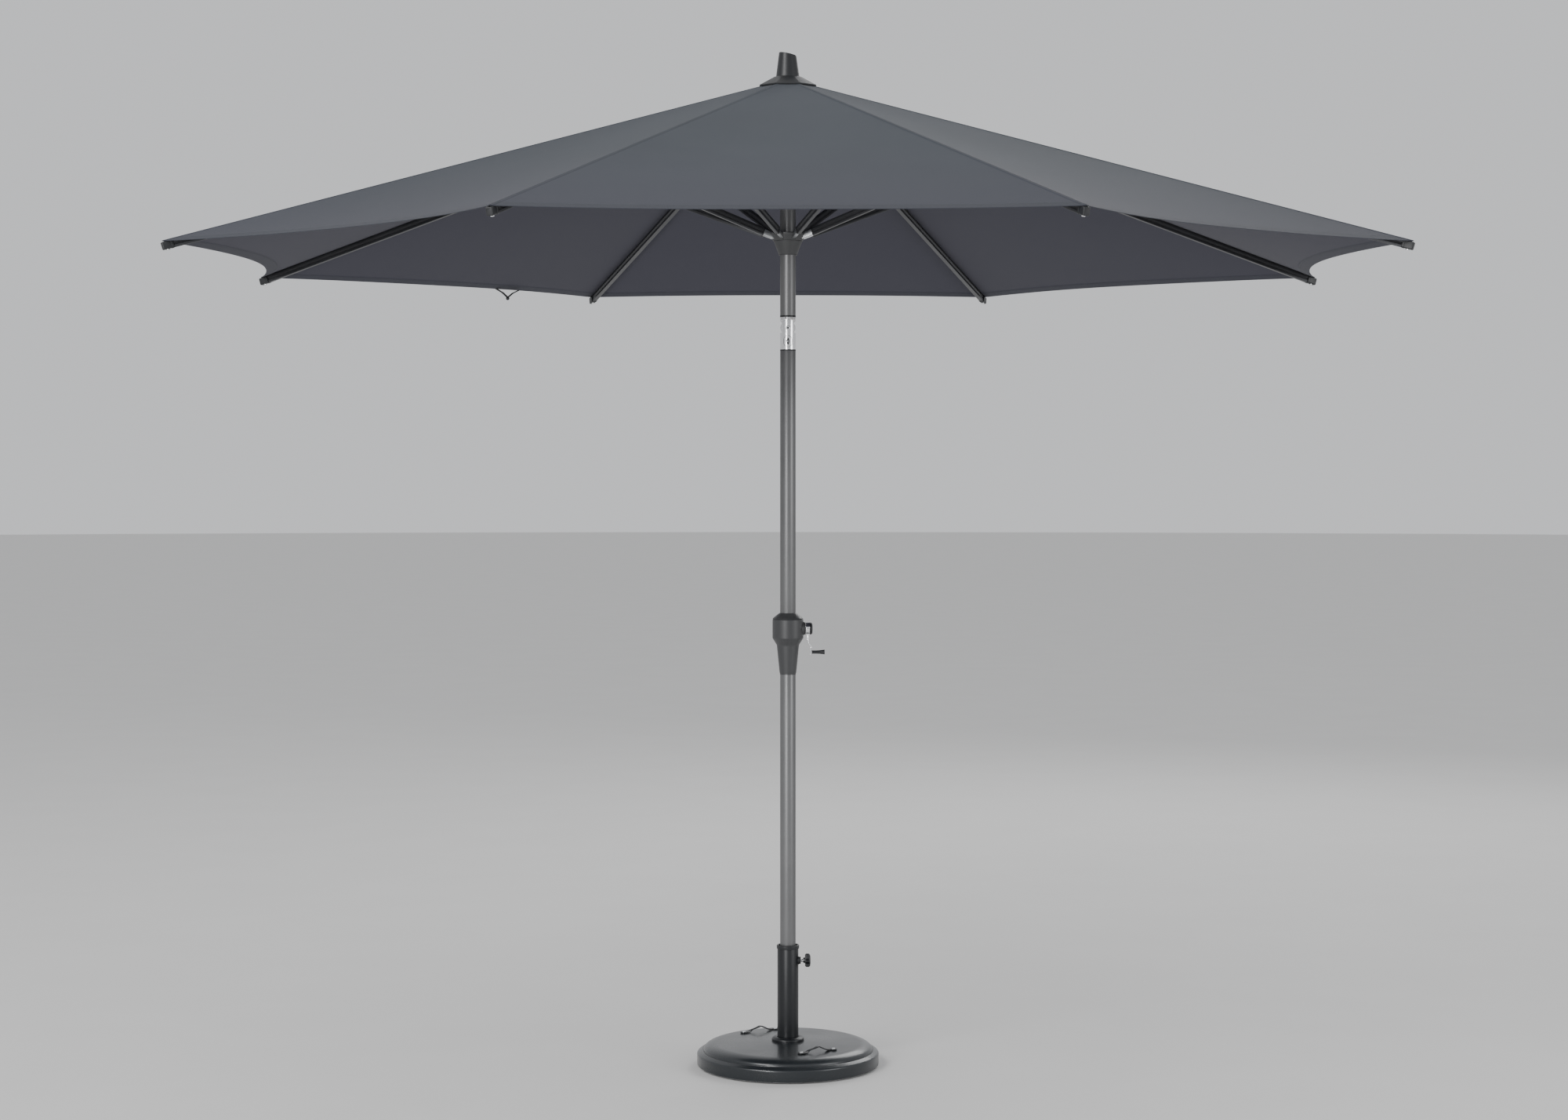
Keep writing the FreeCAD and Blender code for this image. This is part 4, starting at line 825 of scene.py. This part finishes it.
def tieStrapPiece():
    # webbing carried along a hanging V with a soft point; the bead is a squashed ball with flat ends
    s, c = tieStrap, canopy
    middle, _ = goreSurface(3, 1, np.array(1.0), np.array(c["radius"] * sinHalf * (1 - s["across"])))
    middle = middle - np.array([0, 0, s["belowHem"]])
    angle = ribAzimuth(3) + halfGore
    out = np.array([math.cos(angle), math.sin(angle), 0])
    ring = np.array([-math.sin(angle), math.cos(angle), 0])
    middle = middle - out * s["in"]
    line = rounded([(-s["half"], 0), (-s["half"] * 0.45, -s["fall"] * 0.42, 0.02), (0, -s["fall"], 0.006),
                    (s["half"] * 0.45, -s["fall"] * 0.42, 0.02), (s["half"], 0)], steps=10)
    path = middle + line[:, :1] * ring + line[:, 1:] * np.array([0, 0, 1.0])
    along = unit(np.gradient(path, axis=0))
    up = np.cross(along, out)
    half, thick = s["width"] / 2, s["sheet"] / 2
    section = rounded([(-half, -thick, 0.0005), (half, -thick, 0.0005), (half, thick, 0.0005),
                       (-half, thick, 0.0005)],
                      closed=True, steps=3)
    points = path[:, None] + section[None, :, :1] * out + section[None, :, 1:] * up[:, None]
    strap = make("tieStrap", [shell(points)], made["webbing"], "rib_3", ["tie_strap"])
    gone = np.concatenate([[0], np.cumsum(np.linalg.norm(np.diff(path, axis=0), axis=1))])
    mesh = strap.data
    corner = np.zeros(len(mesh.loops), np.int32)
    mesh.loops.foreach_get("vertex_index", corner)
    flat = np.stack(np.broadcast_arrays(section[None, :, 0], gone[:, None]), -1).reshape(-1, 2)
    mesh.uv_layers.new(name="weave").data.foreach_set("uv", flat[corner].ravel())
    t = np.linspace(math.radians(8), math.radians(172), 24)
    ball = np.column_stack([s["bead"] * np.sin(t), -s["bead"] * 0.85 * np.cos(t)])
    ball = np.concatenate([[(0, ball[0, 1])], ball, [(0, ball[-1, 1])]])
    low = middle - np.array([0, 0, s["fall"] + s["bead"] * 0.45])
    bead = make("tieBead", [placed(lathe(ball, 40), axes(low, ring, [0, 0, 1.0], -out))],
                made["blackPlastic"], "rib_3")
    keepSide = ribFrame(3)[:3, 1]
    for piece in (strap, bead):
        tuple(ribFrame(3)[:3, 3])
        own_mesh(piece)


tieStrapPiece()
print("tie strap hung")

pole = {"radius": 0.019, "wall": 0.0015, "edge": 0.0004, "ring": 0.00025}


def ringProfile(outer, inner, low, high, edge=0.0005):  # closed outline of a tube's wall with rounded rims
    return rounded([(inner, low, edge), (outer, low, edge), (outer, high, edge), (inner, high, edge)],
                   closed=True, steps=4)


def poleTube(node, name, body):
    low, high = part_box(node)
    p = pole
    profile = ringProfile(p["radius"], p["radius"] - p["wall"], low.z, high.z, p["edge"])
    make(name, [lathe(profile, 128)], made["poleCoat"], body, [node])


poleTube("lower_tube", "lowerPole", "mast")
poleTube("mid_tube", "middlePole", "mast")
poleTube("top_tube", "topPole", "head")
print("pole made")

finial = {"skirt": 0.074, "skirtEdge": 0.0035, "skirtTop": 0.033, "stubLow": 0.029, "stubTop": 0.0215,
          "lowZ": hubPinZ + 0.0275, "topZ": hubPinZ + 0.0885, "slant": 0.009, "rows": 40, "lift": 0.0026}


def octagonRadius(t):  # distance to the side of an octagon of corner radius 1 with a corner over each rib
    turn = (t - math.radians(umbrella["firstRib"])) % (2 * halfGore) - halfGore
    return cosHalf / np.cos(turn)


def finialPiece():
    # skirt: rings that blend from an octagon outside to a circle inside; stub: a taper cut off on a slant
    # at the top
    f = finial
    t = np.linspace(0, 2 * math.pi, 192, endpoint=False)
    low = hubPinZ - (f["skirt"] - pinCircle) * math.tan(slope) + canopy["aboveRib"] / math.cos(slope) + f[
        "lift"] - 0.001
    lines = rounded([(0.030, low + 0.0125), (f["skirt"] - 0.003, low + 0.0008, 0.0005),
                     (f["skirt"], low, 0.0008), (f["skirt"], low + f["skirtEdge"], 0.0014),
                     (f["skirtTop"] + 0.002, f["lowZ"] + 0.0006, 0.002),
                     (f["stubLow"], f["lowZ"] + 0.0012)], steps=6)
    share = np.clip((lines[:, 0] - 0.034) / 0.030, 0, 1)[:, None]
    radius = lines[:, :1] * (share * octagonRadius(t) + (1 - share))
    skirt = np.stack([radius * np.cos(t), radius * np.sin(t), lines[:, 1:] + 0 * t], -1)
    rise = np.linspace(0, 1, f["rows"])[:, None]
    stubRadius = f["stubLow"] + (f["stubTop"] - f["stubLow"]) * rise
    x, y = stubRadius * np.cos(t), stubRadius * np.sin(t)
    ceiling = f["topZ"] - f["lowZ"] - f["slant"] * (1 + np.cos(t)) / 2
    stub = np.stack([x, y, f["lowZ"] + 0.0012 + rise * (ceiling - 0.0012)], -1)
    top = stub[-1]
    centre = np.array([0, 0, float(top[:, 2].mean())])
    ends = [top + (centre - top) * s + [0, 0, h] for s, h in ((0.02, 0.0004), (0.05, 0.0007),
                                                              (0.10, 0.0008), (0.97, 0.0008))]
    stub[-1] = top - [0, 0, 0.0004]
    points = np.concatenate([skirt, stub[1:], np.stack(ends)])
    points[..., 2] = np.minimum(points[..., 2], f["topZ"])
    make("finial", [shell(points)], made["blackPlastic"], "head", ["finial"], sharp=32)
    band = rounded([(f["stubLow"] - 0.002, f["lowZ"] + 0.0008),
                    (f["stubLow"] + 0.0006, f["lowZ"] + 0.0008, 0.0004),
                    (f["stubLow"] + 0.0003, f["lowZ"] + 0.0030, 0.0004),
                    (f["stubLow"] - 0.002, f["lowZ"] + 0.0030)],
                   closed=True, steps=4)
    make("finialBand", [lathe(band, 128)], made["blackPlastic"], "head")


finialPiece()
softened("hub", "hub", made["housing"], 0.0006)
print("head made")

runner = {"rise": 0.0075, "crownHeight": 0.018, "coneTop": 0.034, "coneLow": 0.021, "cone": 0.035,
          "bore": 0.0195, "lip": 0.0016}


def runnerPieces():
    r = runner
    step = runnerPinZ + r["rise"] - r["crownHeight"]
    bottom = step - r["cone"]
    softened("runner", "runnerCrown", made["housing"], 0.0008)
    sleeve = rounded([(r["bore"], bottom - 0.0002, 0.0004),
                      (r["coneLow"] + 0.0004, bottom - 0.0002, 0.0012),
                      (r["coneTop"] + 0.0006, step - 0.0012, 0.0016),
                      (r["coneTop"] + 0.0006, step - 0.0002, 0.0004), (r["bore"], step - 0.0002, 0.0003)],
                     closed=True, steps=6)
    make("runnerCone", [lathe(sleeve, 128)], made["housing"], "runner")
    lip = ringProfile(r["coneLow"] + 0.0011, r["bore"], bottom - 0.0002, bottom + 0.0036, 0.0006)
    make("runnerLip", [lathe(lip, 128)], made["housing"], "runner")


runnerPieces()
print("runner made")

tilt = {"low": tiltZ - 0.052, "top": tiltZ + 0.026, "ringLow": 0.003, "ringTop": 0.004,
        "buttonZ": tiltZ - 0.0325, "lozengeWide": 0.0098,
        "lozengeTall": 0.0200}


def tiltPieces():
    d, r = tilt, pole["radius"]
    softened("tilt_lower_knuckle", "tiltLowerKnuckle", made["polishedAlloy"], 0.0004)
    softened("tilt_upper_knuckle", "tiltUpperKnuckle", made["polishedAlloy"], 0.0004)
    softened("tilt_button", "tiltButton", made["polishedAlloy"], 0.0005)
    for name, low, high, body in (("tiltRingLower", d["low"] - d["ringLow"], d["low"], "mast"),
                                  ("tiltRingUpper", d["top"], d["top"] + d["ringTop"], "head")):
        make(name, [lathe(ringProfile(r + pole["ring"], r - 0.0015, low - 0.0001, high + 0.0001), 128)],
             made["blackPlastic"], body)
    w, h = d["lozengeWide"] / 2, d["lozengeTall"] / 2
    outline = rounded([(0, -h, 0.0008), (w, 0, 0.007), (0, h, 0.0008), (-w, 0, 0.007)], closed=True,
                      steps=8)
    outline = outline + [0, d["buttonZ"]]
    front = r - 0.0002
    ridge = placed(prism(outline, front - 0.002, front + 0.0004, 0.0004), sideways())
    hollow = placed(prism(insetOutline(outline, 0.0018), front - 0.001, front + 0.0006, 0.0003), sideways())
    make("buttonMark", [ridge], made["blackPlastic"], "tilt_button")
    make("buttonInlay", [hollow], made["chromePlate"], "tilt_button")
    # painted shade: a thin black loop round the button stands in for the shaded gap between the button and
    # the knuckle
    w, h, c = 0.0103, 0.0138, 0.0103
    line = rounded([(-w, -h, c), (w, -h, c), (w, h, c), (-w, h, c)], closed=True, steps=14) + [0,
                                                                                               d["buttonZ"]]
    t = np.linspace(0, 2 * math.pi, 12, endpoint=False)
    normal = insetOutline(line, -1.0) - line
    radius = 0.00032
    at = line[:, None] + radius * np.cos(t)[None, :, None] * normal[:, None]
    depth = -np.sqrt(np.maximum(r ** 2 - at[..., 0] ** 2, 0)) - 0.00005 + radius * np.sin(t)
    rim = np.stack([at[..., 0], depth, at[..., 1]], -1)
    make("buttonRim", [(rim.reshape(-1, 3), gridFaces(len(line), 12, True, True).tolist())],
         made["blackPlastic"], "mast")
    socket = rounded([(0, r - 0.0004), (0.0050, r - 0.0004, 0.0003), (0.0050, r + 0.0006, 0.0004),
                      (0.0026, r + 0.0006, 0.0002), (0.0020, r - 0.0001), (0, r - 0.0001)], steps=4)
    make("pivotCap", [placed(lathe(socket, 48), alongY(tiltZ))], made["chromePlate"], "mast")
    # painted shade: a black hexagon set in the cap's recess stands in for the shaded hole of the pivot's
    # hex socket
    dark = rounded([(0, r - 0.0002), (0.0021, r - 0.0002, 0.0001), (0.0018, r + 0.0002, 0.0001),
                    (0, r + 0.0002)], steps=3)
    make("pivotSocket", [placed(lathe(dark, 6), alongY(tiltZ))], made["blackPlastic"], "mast")


tiltPieces()
print("tilt joint made")

crank = {"drum": 0.0375, "low": crankZ - 0.023, "top": crankZ + 0.023, "sleeve": 0.02025,
         "sleeveLow": crankZ - 0.111, "waist": 0.027,
         "waistZ": crankZ - 0.040, "roof": crankZ + 0.0375, "roofRadius": 0.0203, "boss": 0.015,
         "bossEnd": 0.043, "bandStart": 0.0435, "band": 0.0095, "cap": 0.007, "arm": 0.057,
         "armStep": 0.007, "armWidth": 0.013, "armThick": 0.004,
         "grip": 0.031, "gripLow": 0.0042, "gripEnd": 0.0058}


def crankPieces():
    c, r = crank, pole["radius"] + 0.00005
    body = rounded([(r, c["sleeveLow"]), (c["sleeve"] - 0.0008, c["sleeveLow"], 0.0005),
                    (c["sleeve"] - 0.0008, c["sleeveLow"] + 0.0035, 0.0003),
                    (c["sleeve"], c["sleeveLow"] + 0.0038, 0.0003), (c["waist"], c["waistZ"], 0.010),
                    (c["drum"], c["low"], 0.004), (c["drum"], c["top"] - 0.0016, 0.0012),
                    (c["drum"] - 0.0012, c["top"], 0.0004), (0.034, c["top"]), (0.034, c["low"]),
                    (r, c["low"] - 0.006)], closed=True, steps=8)
    boss = rounded([(0, 0.022), (c["boss"] + 0.0012, 0.022), (c["boss"] + 0.0012, 0.0392, 0.0006),
                    (c["boss"] - 0.0004, 0.0400, 0.0004), (c["boss"] - 0.0004, 0.0410, 0.0003),
                    (c["boss"] + 0.0006, 0.0414, 0.0004), (c["boss"], c["bossEnd"], 0.0008),
                    (0, c["bossEnd"])], steps=5)
    make("crankHousing", [lathe(body, 160), placed(lathe(boss, 80), alongX(crankZ))],
         made["housing"], "mast", ["crank_housing"])
    cap = rounded([(r, c["top"] + 0.0004), (c["drum"] - 0.0014, c["top"] + 0.0004, 0.0003),
                   (c["drum"], c["top"] + 0.0012, 0.0010),
                   (c["roofRadius"] + 0.0022, c["roof"] - 0.0012, 0.003),
                   (c["roofRadius"], c["roof"], 0.0006), (r, c["roof"])], closed=True, steps=7)
    make("crankHousingCap", [lathe(cap, 160)], made["housing"], "mast", ["crank_housing_cap"])

    x0, x1 = c["bandStart"], c["bandStart"] + c["band"]
    band = rounded([(0, x0), (c["boss"], x0, 0.0006), (c["boss"], x1, 0.0006), (0, x1)], steps=5)
    dome = rounded([(0, x1), (c["boss"] + 0.0001, x1, 0.0004),
                    (c["boss"] - 0.0010, x1 + c["cap"] - 0.001, 0.0042), (0.004, x1 + c["cap"], 0.002),
                    (0, x1 + c["cap"] - 0.0003)], steps=9)
    a, b = x0 + 0.003, x0 + 0.003 + c["armThick"]
    low = crankZ - c["arm"]
    bar = rounded([(a, crankZ), (b, crankZ), (b, low + 0.024, 0.006),
                   (b + c["armStep"], low + 0.012, 0.006),
                   (b + c["armStep"], low - c["armWidth"] / 2, 0.0012),
                   (a + c["armStep"], low - c["armWidth"] / 2, 0.0012),
                   (a + c["armStep"], low + 0.013, 0.006), (a, low + 0.025, 0.006)], closed=True, steps=7)
    arm = placed(prism(bar, -c["armWidth"] / 2, c["armWidth"] / 2, 0.0010), sideways())
    face = b + c["armStep"]
    washer = placed(lathe(rounded([(0, face - 0.0002), (0.0045, face - 0.0002),
                                   (0.0045, face + 0.0004, 0.0003), (0, face + 0.0004)]), 32), alongX(low))
    make("crankArm", [placed(lathe(band, 96), alongX(crankZ)), arm, washer], made["chromePlate"], "crank",
         ["crank_arm"])
    make("crankArmCap", [placed(lathe(dome, 96), alongX(crankZ))], made["blackPlastic"], "crank")
    start, end = face + 0.0006, face + 0.0006 + c["grip"]
    t = np.linspace(0, 1, 60)
    swell = c["gripLow"] + (c["gripEnd"] - c["gripLow"]) * t ** 1.6 - 0.0004 * np.sin(math.pi * t)
    swell = swell - 0.00028 * np.clip(np.sin(2 * math.pi * 9 * t), 0, 1) ** 2
    side = np.column_stack([swell, start + 0.0005 + (end - start - 0.0010) * t])
    grip = np.concatenate([[(0, start)], [(swell[0] - 0.0005, start)], side, [(swell[-1] - 0.0006, end)],
                           [(0.0040, end), (0.0036, end - 0.0010), (0, end - 0.0010)]])
    make("crankGrip", [placed(lathe(grip, 64), alongX(low))], made["blackPlastic"], "crank_grip",
         ["crank_grip"])


crankPieces()
print("crank made")

base = {
    "radius": 0.220, "feet": 0.004, "rim": 0.0320, "top": 0.060, "collar": 0.039, "collarHeight": 0.010,
    "domeFoot": 0.2045, "ledge": 0.0385, "shoulder": 0.172, "fall": 0.0155,
    "cone": 0.036,           # fall of the dome's top per metre outwards
    "stem": 0.0255, "stemWall": 0.002, "stemFoot": 0.014, "stemTop": 0.288, "stemRise": 0.003,
    "lip": 0.0275, "lipHeight": 0.009,
}


def basePieces():
    b = base
    hole = b["stem"] + 0.0003
    # rim, sloping ledge, a quarter of an ellipse for the dome's shoulder, then a shallow cone up to the
    # collar
    edge = b["domeFoot"]
    r = b["shoulder"] + (edge - b["shoulder"]) * np.sin(np.linspace(math.pi / 2, 0, 40))
    r = np.concatenate([r, np.linspace(b["shoulder"], b["collar"], 30)[1:]])
    turn = np.clip((r - b["shoulder"]) / (edge - b["shoulder"]), 0, 1)
    height = b["top"] - b["cone"] * (r - b["collar"]) - b["fall"] * (1 - np.sqrt(1 - turn ** 2))
    dome = np.column_stack([r, height])
    rim = rounded([(hole, b["feet"] + 0.004), (b["radius"] - 0.006, b["feet"] + 0.004),
                   (b["radius"] - 0.004, b["feet"], 0.001),
                   (b["radius"] - 0.0006, b["feet"] + 0.0004, 0.0025), (b["radius"], b["rim"], 0.0060),
                   (b["domeFoot"] + 0.0040, b["ledge"], 0.0040),
                   (b["domeFoot"] + 0.0004, b["ledge"] - 0.0004, 0.0020)], steps=10)
    cover = np.concatenate([rim, dome, [(hole, b["top"])]])
    make("baseCover", [lathe(cover, 256)], made["slateCoat"], "base", ["base_cover"],
         sharp=50)
    collar = rounded([(b["stem"], b["top"] - 0.001), (b["collar"], b["top"] - 0.001, 0.0006),
                      (b["collar"] + 0.0003, b["top"] + 0.0055, 0.0035),
                      (b["collar"] - 0.005, b["top"] + 0.0092, 0.004),
                      (b["stem"] + 0.0030, b["top"] + b["collarHeight"], 0.0015),
                      (b["stem"], b["top"] + 0.0090)],
                     closed=True, steps=8)
    make("stemCollar", [lathe(collar, 160)], made["stemCoat"], "base", ["stem_collar"])
    inner = b["stem"] - b["stemWall"]
    stem = ringProfile(b["stem"], inner, b["stemFoot"], b["stemTop"], 0.0006)
    boss = rounded([(0.0042, 0.0235), (0.0100, 0.0235), (0.0100, 0.0262, 0.001), (0.0090, 0.0275, 0.0008),
                    (0.0090, 0.0305, 0.0008), (0.0075, 0.031, 0.0004), (0.0042, 0.031)], closed=True,
                   steps=5)
    make("stemTube", [lathe(stem, 160), placed(lathe(boss, 56), alongX(clampZ))], made["stemCoat"], "base",
         ["stem_tube"])
    top = b["stemTop"] + b["stemRise"]
    ring = rounded([(inner - 0.0006, top - 0.0012, 0.0006), (inner - 0.0006, b["stemTop"] - 0.004, 0.0004),
                    (b["stem"], b["stemTop"] - 0.004), (b["stem"], top - b["lipHeight"]),
                    (b["lip"] - 0.0004, top - b["lipHeight"], 0.0006), (b["lip"], top - 0.0018, 0.0016),
                    (b["lip"] - 0.0016, top, 0.0012), (inner + 0.0006, top, 0.0010)], closed=True, steps=6)
    make("stemLip", [lathe(ring, 160)], made["blackPlastic"], "base", ["stem_lip"])


handles = {"azimuths": (-60.0, 120.0), "circle": 0.140, "half": 0.044, "rise": 0.012, "wide": 0.0065,
           "swerve": 0.0030, "thick": 0.0016, "screwDepth": 0.018, "offCover": 0.0001}


def carryHandles():
    # a flat bar with round edges carried along a wave: up over an arch in the middle and down to an eye at
    # each end
    h = handles
    shells, screws = [], []
    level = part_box("carry_handles")[0].z + h["screwDepth"] + h["offCover"]
    t = np.linspace(-1, 1, 81)
    rise = (h["rise"] - h["thick"]) * (0.5 + 0.5 * np.cos(math.pi * np.clip(t * 1.3, -1, 1))) + h["thick"]
    line = np.column_stack([t * h["half"], h["swerve"] * np.sin(3 * math.pi * t), rise])
    along = unit(np.gradient(line, axis=0))
    side = unit(np.cross([0, 0, 1.0], along))
    up = np.cross(along, side)
    half = (h["wide"] * (0.62 + 0.38 * np.abs(t) ** 2))[:, None, None]
    a = np.linspace(0, 2 * math.pi, 20, endpoint=False)
    across = np.sign(np.cos(a)) * np.abs(np.cos(a)) ** 0.6
    thick = h["thick"] * np.sign(np.sin(a)) * np.abs(np.sin(a)) ** 0.6
    spread = half * across[None, :, None] * side[:, None]
    bar = shell(line[:, None] + spread + thick[None, :, None] * up[:, None])
    for azimuth in h["azimuths"]:
        angle = math.radians(azimuth)
        out = np.array([math.cos(angle), math.sin(angle), 0])
        ring = np.array([-math.sin(angle), math.cos(angle), 0])
        matrix = axes(out * h["circle"] + [0, 0, level], ring, -out, [0, 0, 1.0])
        shells.append(placed(bar, matrix))
        for end in (-1, 1):
            eye = rounded([(0.0027, 0), (0.0086, 0, 0.0006), (0.0086, 0.0030, 0.0012), (0.0027, 0.0030)],
                          closed=True, steps=5)
            head = rounded([(0, 0.0028), (0.0048, 0.0028), (0.0046, 0.0042, 0.0012),
                            (0.0014, 0.0048, 0.001), (0, 0.0046)],
                           steps=6)
            there = matrix.copy()
            there[:3, 3] += ring * end * (h["half"] + 0.0002)
            shells.append(placed(lathe(eye, 48), there))
            screws.append(placed(lathe(head, 40), there))
    make("carryHandles", shells, made["blackPlastic"], "base", ["carry_handles"])
    make("handleScrews", screws, made["zincSteel"], "base")


clamp = {"knobStart": 0.041, "knobLength": 0.014, "knobRadius": 0.0142, "lobes": 6, "lobeRise": 0.0024,
         "lobeNip": 0.0004, "screwStart": 0.0246, "screwRadius": 0.0040, "threadDepth": 0.00035,
         "threads": 14}


def clampPieces():
    # knob: a rounded profile carried round a circle that swells into lobes; screw: a shank with ripples for
    # its thread
    c = clamp
    knobStart, length = c["knobStart"], c["knobLength"]
    t = np.linspace(0, 2 * math.pi, 144, endpoint=False)
    lobes = c["knobRadius"] + c["lobeRise"] * np.cos(c["lobes"] * t) + c["lobeNip"] * np.cos(2 * c["lobes"]
                                                                                             * t)
    line = rounded([(0.45, 0), (0.86, 0.0004, 0.002), (1.0, 0.0034, 0.003), (1.0, length - 0.0040, 0.004),
                    (0.80, length - 0.0008, 0.002), (0.30, length)], steps=6)
    x = knobStart + line[:, 1:]
    knob = np.stack([x + 0 * t, line[:, :1] * lobes * np.cos(t), line[:, :1] * lobes * np.sin(t)], -1)
    knob[..., 2] += clampZ
    neck = rounded([(0, knobStart - 0.004), (0.0062, knobStart - 0.004, 0.001),
                    (0.0070, knobStart + 0.001), (0, knobStart + 0.001)],
                   steps=5)
    make("clampKnob", [shell(knob), placed(lathe(neck, 48), alongX(clampZ))], made["blackPlastic"],
         "clamp_knob", ["clamp_knob"])
    n = np.linspace(0, 1, 200)
    shaft = c["screwRadius"] - c["threadDepth"] * (0.5 + 0.5 * np.cos(2 * math.pi * n * c["threads"]))
    start = c["screwStart"]
    screw = np.concatenate([[(0, start)], np.column_stack([shaft, start + (knobStart + 0.004 - start) * n]),
                            [(0, knobStart + 0.004)]])
    make("clampScrew", [placed(lathe(screw, 40), alongX(clampZ))], made["chromePlate"], "clamp_knob",
         ["clamp_screw"])


basePieces()
carryHandles()
clampPieces()
print("base made")

cord = {"radius": 0.00125, "gap": 0.0003, "groove": 0.00865, "spool": 0.008, "blend": 0.012}


def cordPieces():
    # a round cord: a run up the pole along the tangent from spool to pulley, over the pulley, and a run
    # down
    c = cord
    pulley = joints["pulley_turn"]["pos_m"]
    turn = c["groove"] + c["gap"] + c["radius"]
    startY = c["spool"] + c["gap"] + c["radius"]
    distance = math.hypot(pulley[1] - startY, pulley[2] - crankZ)
    heading = math.atan2(pulley[2] - crankZ, pulley[1] - startY) + math.asin(turn / distance)
    run = math.sqrt(distance ** 2 - turn ** 2)
    start = np.array([0, startY, crankZ])
    up = np.array([0, math.cos(heading), math.sin(heading)])
    meet = start + up * run
    rising = start + np.linspace(0, run, 120)[:, None] * up
    first = math.atan2(meet[2] - pulley[2], meet[1] - pulley[1])
    t = np.linspace(first, 0, 16)
    over = np.column_stack([0 * t, pulley[1] + turn * np.cos(t), pulley[2] + turn * np.sin(t)])
    low = runnerPinZ - 0.0025
    fall = np.column_stack([np.zeros(80), np.full(80, pulley[1] + turn), np.linspace(pulley[2], low, 80)])
    rise = make("liftCordRise", [tube(rising, c["radius"], 16)], made["webbing"], None)
    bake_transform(rise)
    make("liftCordFall", [tube(np.concatenate([over, fall[1:]]), c["radius"], 16)], made["webbing"],
         "head", ["lift_cord"])
    make("liftCordEnd", [tube(fall[2:], c["radius"] * 0.98, 16)], made["webbing"], "runner")


cordPieces()
print("lift cord made")

studio = {
    "lens": 63.396, "sensor": 36.0, "shiftX": -0.0025, "shiftY": -0.05565, "distance": 6.686,
    "height": 1.433, "sky": (0.84, 0.85, 0.87), "skyStrength": 0.85,
    "lookAt": 1.5,
    "lamps": {               # x, y, z, size, watts
        "key": (-4.2, -5.2, 5.6, 3.0, 300.0),
        "front": (-2.6, -6.2, 1.3, 1.3, 150.0),
        "fill": (5.5, -3.5, 2.0, 2.5, 110.0),
        "back": (2.5, 5.5, 4.6, 3.0, 120.0),
    },
    "floorRings": [0.3, 1.0, 3.0, 8.0, 20.0, 60.0], "floorSides": 96,
}


def studioSetUp():
    s = studio
    camera = bpy.data.objects.new("camera", bpy.data.cameras.new("camera"))
    bpy.context.scene.collection.objects.link(camera)
    camera.location = (0, -s["distance"], s["height"])
    camera.rotation_euler = (math.pi / 2, 0, 0)
    camera.data.sensor_width = s["sensor"]
    camera.data.lens = s["lens"]
    camera.data.shift_x = s["shiftX"]
    camera.data.shift_y = s["shiftY"]
    camera.data.clip_end = 200
    bpy.context.scene.camera = camera
    world = bpy.data.worlds.new("studio")
    world.use_nodes = True
    world.node_tree.nodes["Background"].inputs["Color"].default_value = (*s["sky"], 1)
    world.node_tree.nodes["Background"].inputs["Strength"].default_value = s["skyStrength"]
    bpy.context.scene.world = world
    for name, (x, y, z, size, power) in s["lamps"].items():
        lamp = bpy.data.objects.new(name, bpy.data.lights.new(name, "AREA"))
        bpy.context.scene.collection.objects.link(lamp)
        lamp.data.energy, lamp.data.size = power, size
        lamp.visible_camera = False
        lamp.location = (x, y, z)
        lamp.rotation_euler = (Vector((0, 0, s["lookAt"])) - lamp.location).to_track_quat("-Z",
                                                                                          "Y").to_euler()
    sides = s["floorSides"]
    t = np.linspace(0, 2 * math.pi, sides, endpoint=False)
    rings = np.array(s["floorRings"])[:, None]
    points = np.stack([rings * np.cos(t), rings * np.sin(t), 0 * rings * t], -1)
    mesh = bpy.data.meshes.new("floor")
    faces = gridFaces(len(rings), sides, False, True).tolist() + [list(range(sides))]
    mesh.from_pydata(points.reshape(-1, 3).tolist(), [], faces)
    work = bmesh.new()
    work.from_mesh(mesh)
    bmesh.ops.recalc_face_normals(work, faces=work.faces)
    if work.faces[0].normal.z < 0:
        bmesh.ops.reverse_faces(work, faces=work.faces)
    work.to_mesh(mesh)
    work.free()
    floor = bpy.data.objects.new("floor", mesh)
    bpy.context.scene.collection.objects.link(floor)
    finish, tree, shader, place = newFinish("paleFloor")
    noise = link(tree, "ShaderNodeTexNoise", {"Vector": place.outputs["Object"], "Scale": 3.0,
                                              "Detail": 4.0})
    tree.links.new(mixed(tree, noise.outputs["Fac"], (0.66, 0.655, 0.645), (0.70, 0.695, 0.685)),
                   shader.inputs["Base Color"])
    shader.inputs["Roughness"].default_value = 0.75
    mesh.materials.append(finish)


studioSetUp()
print("studio set up")
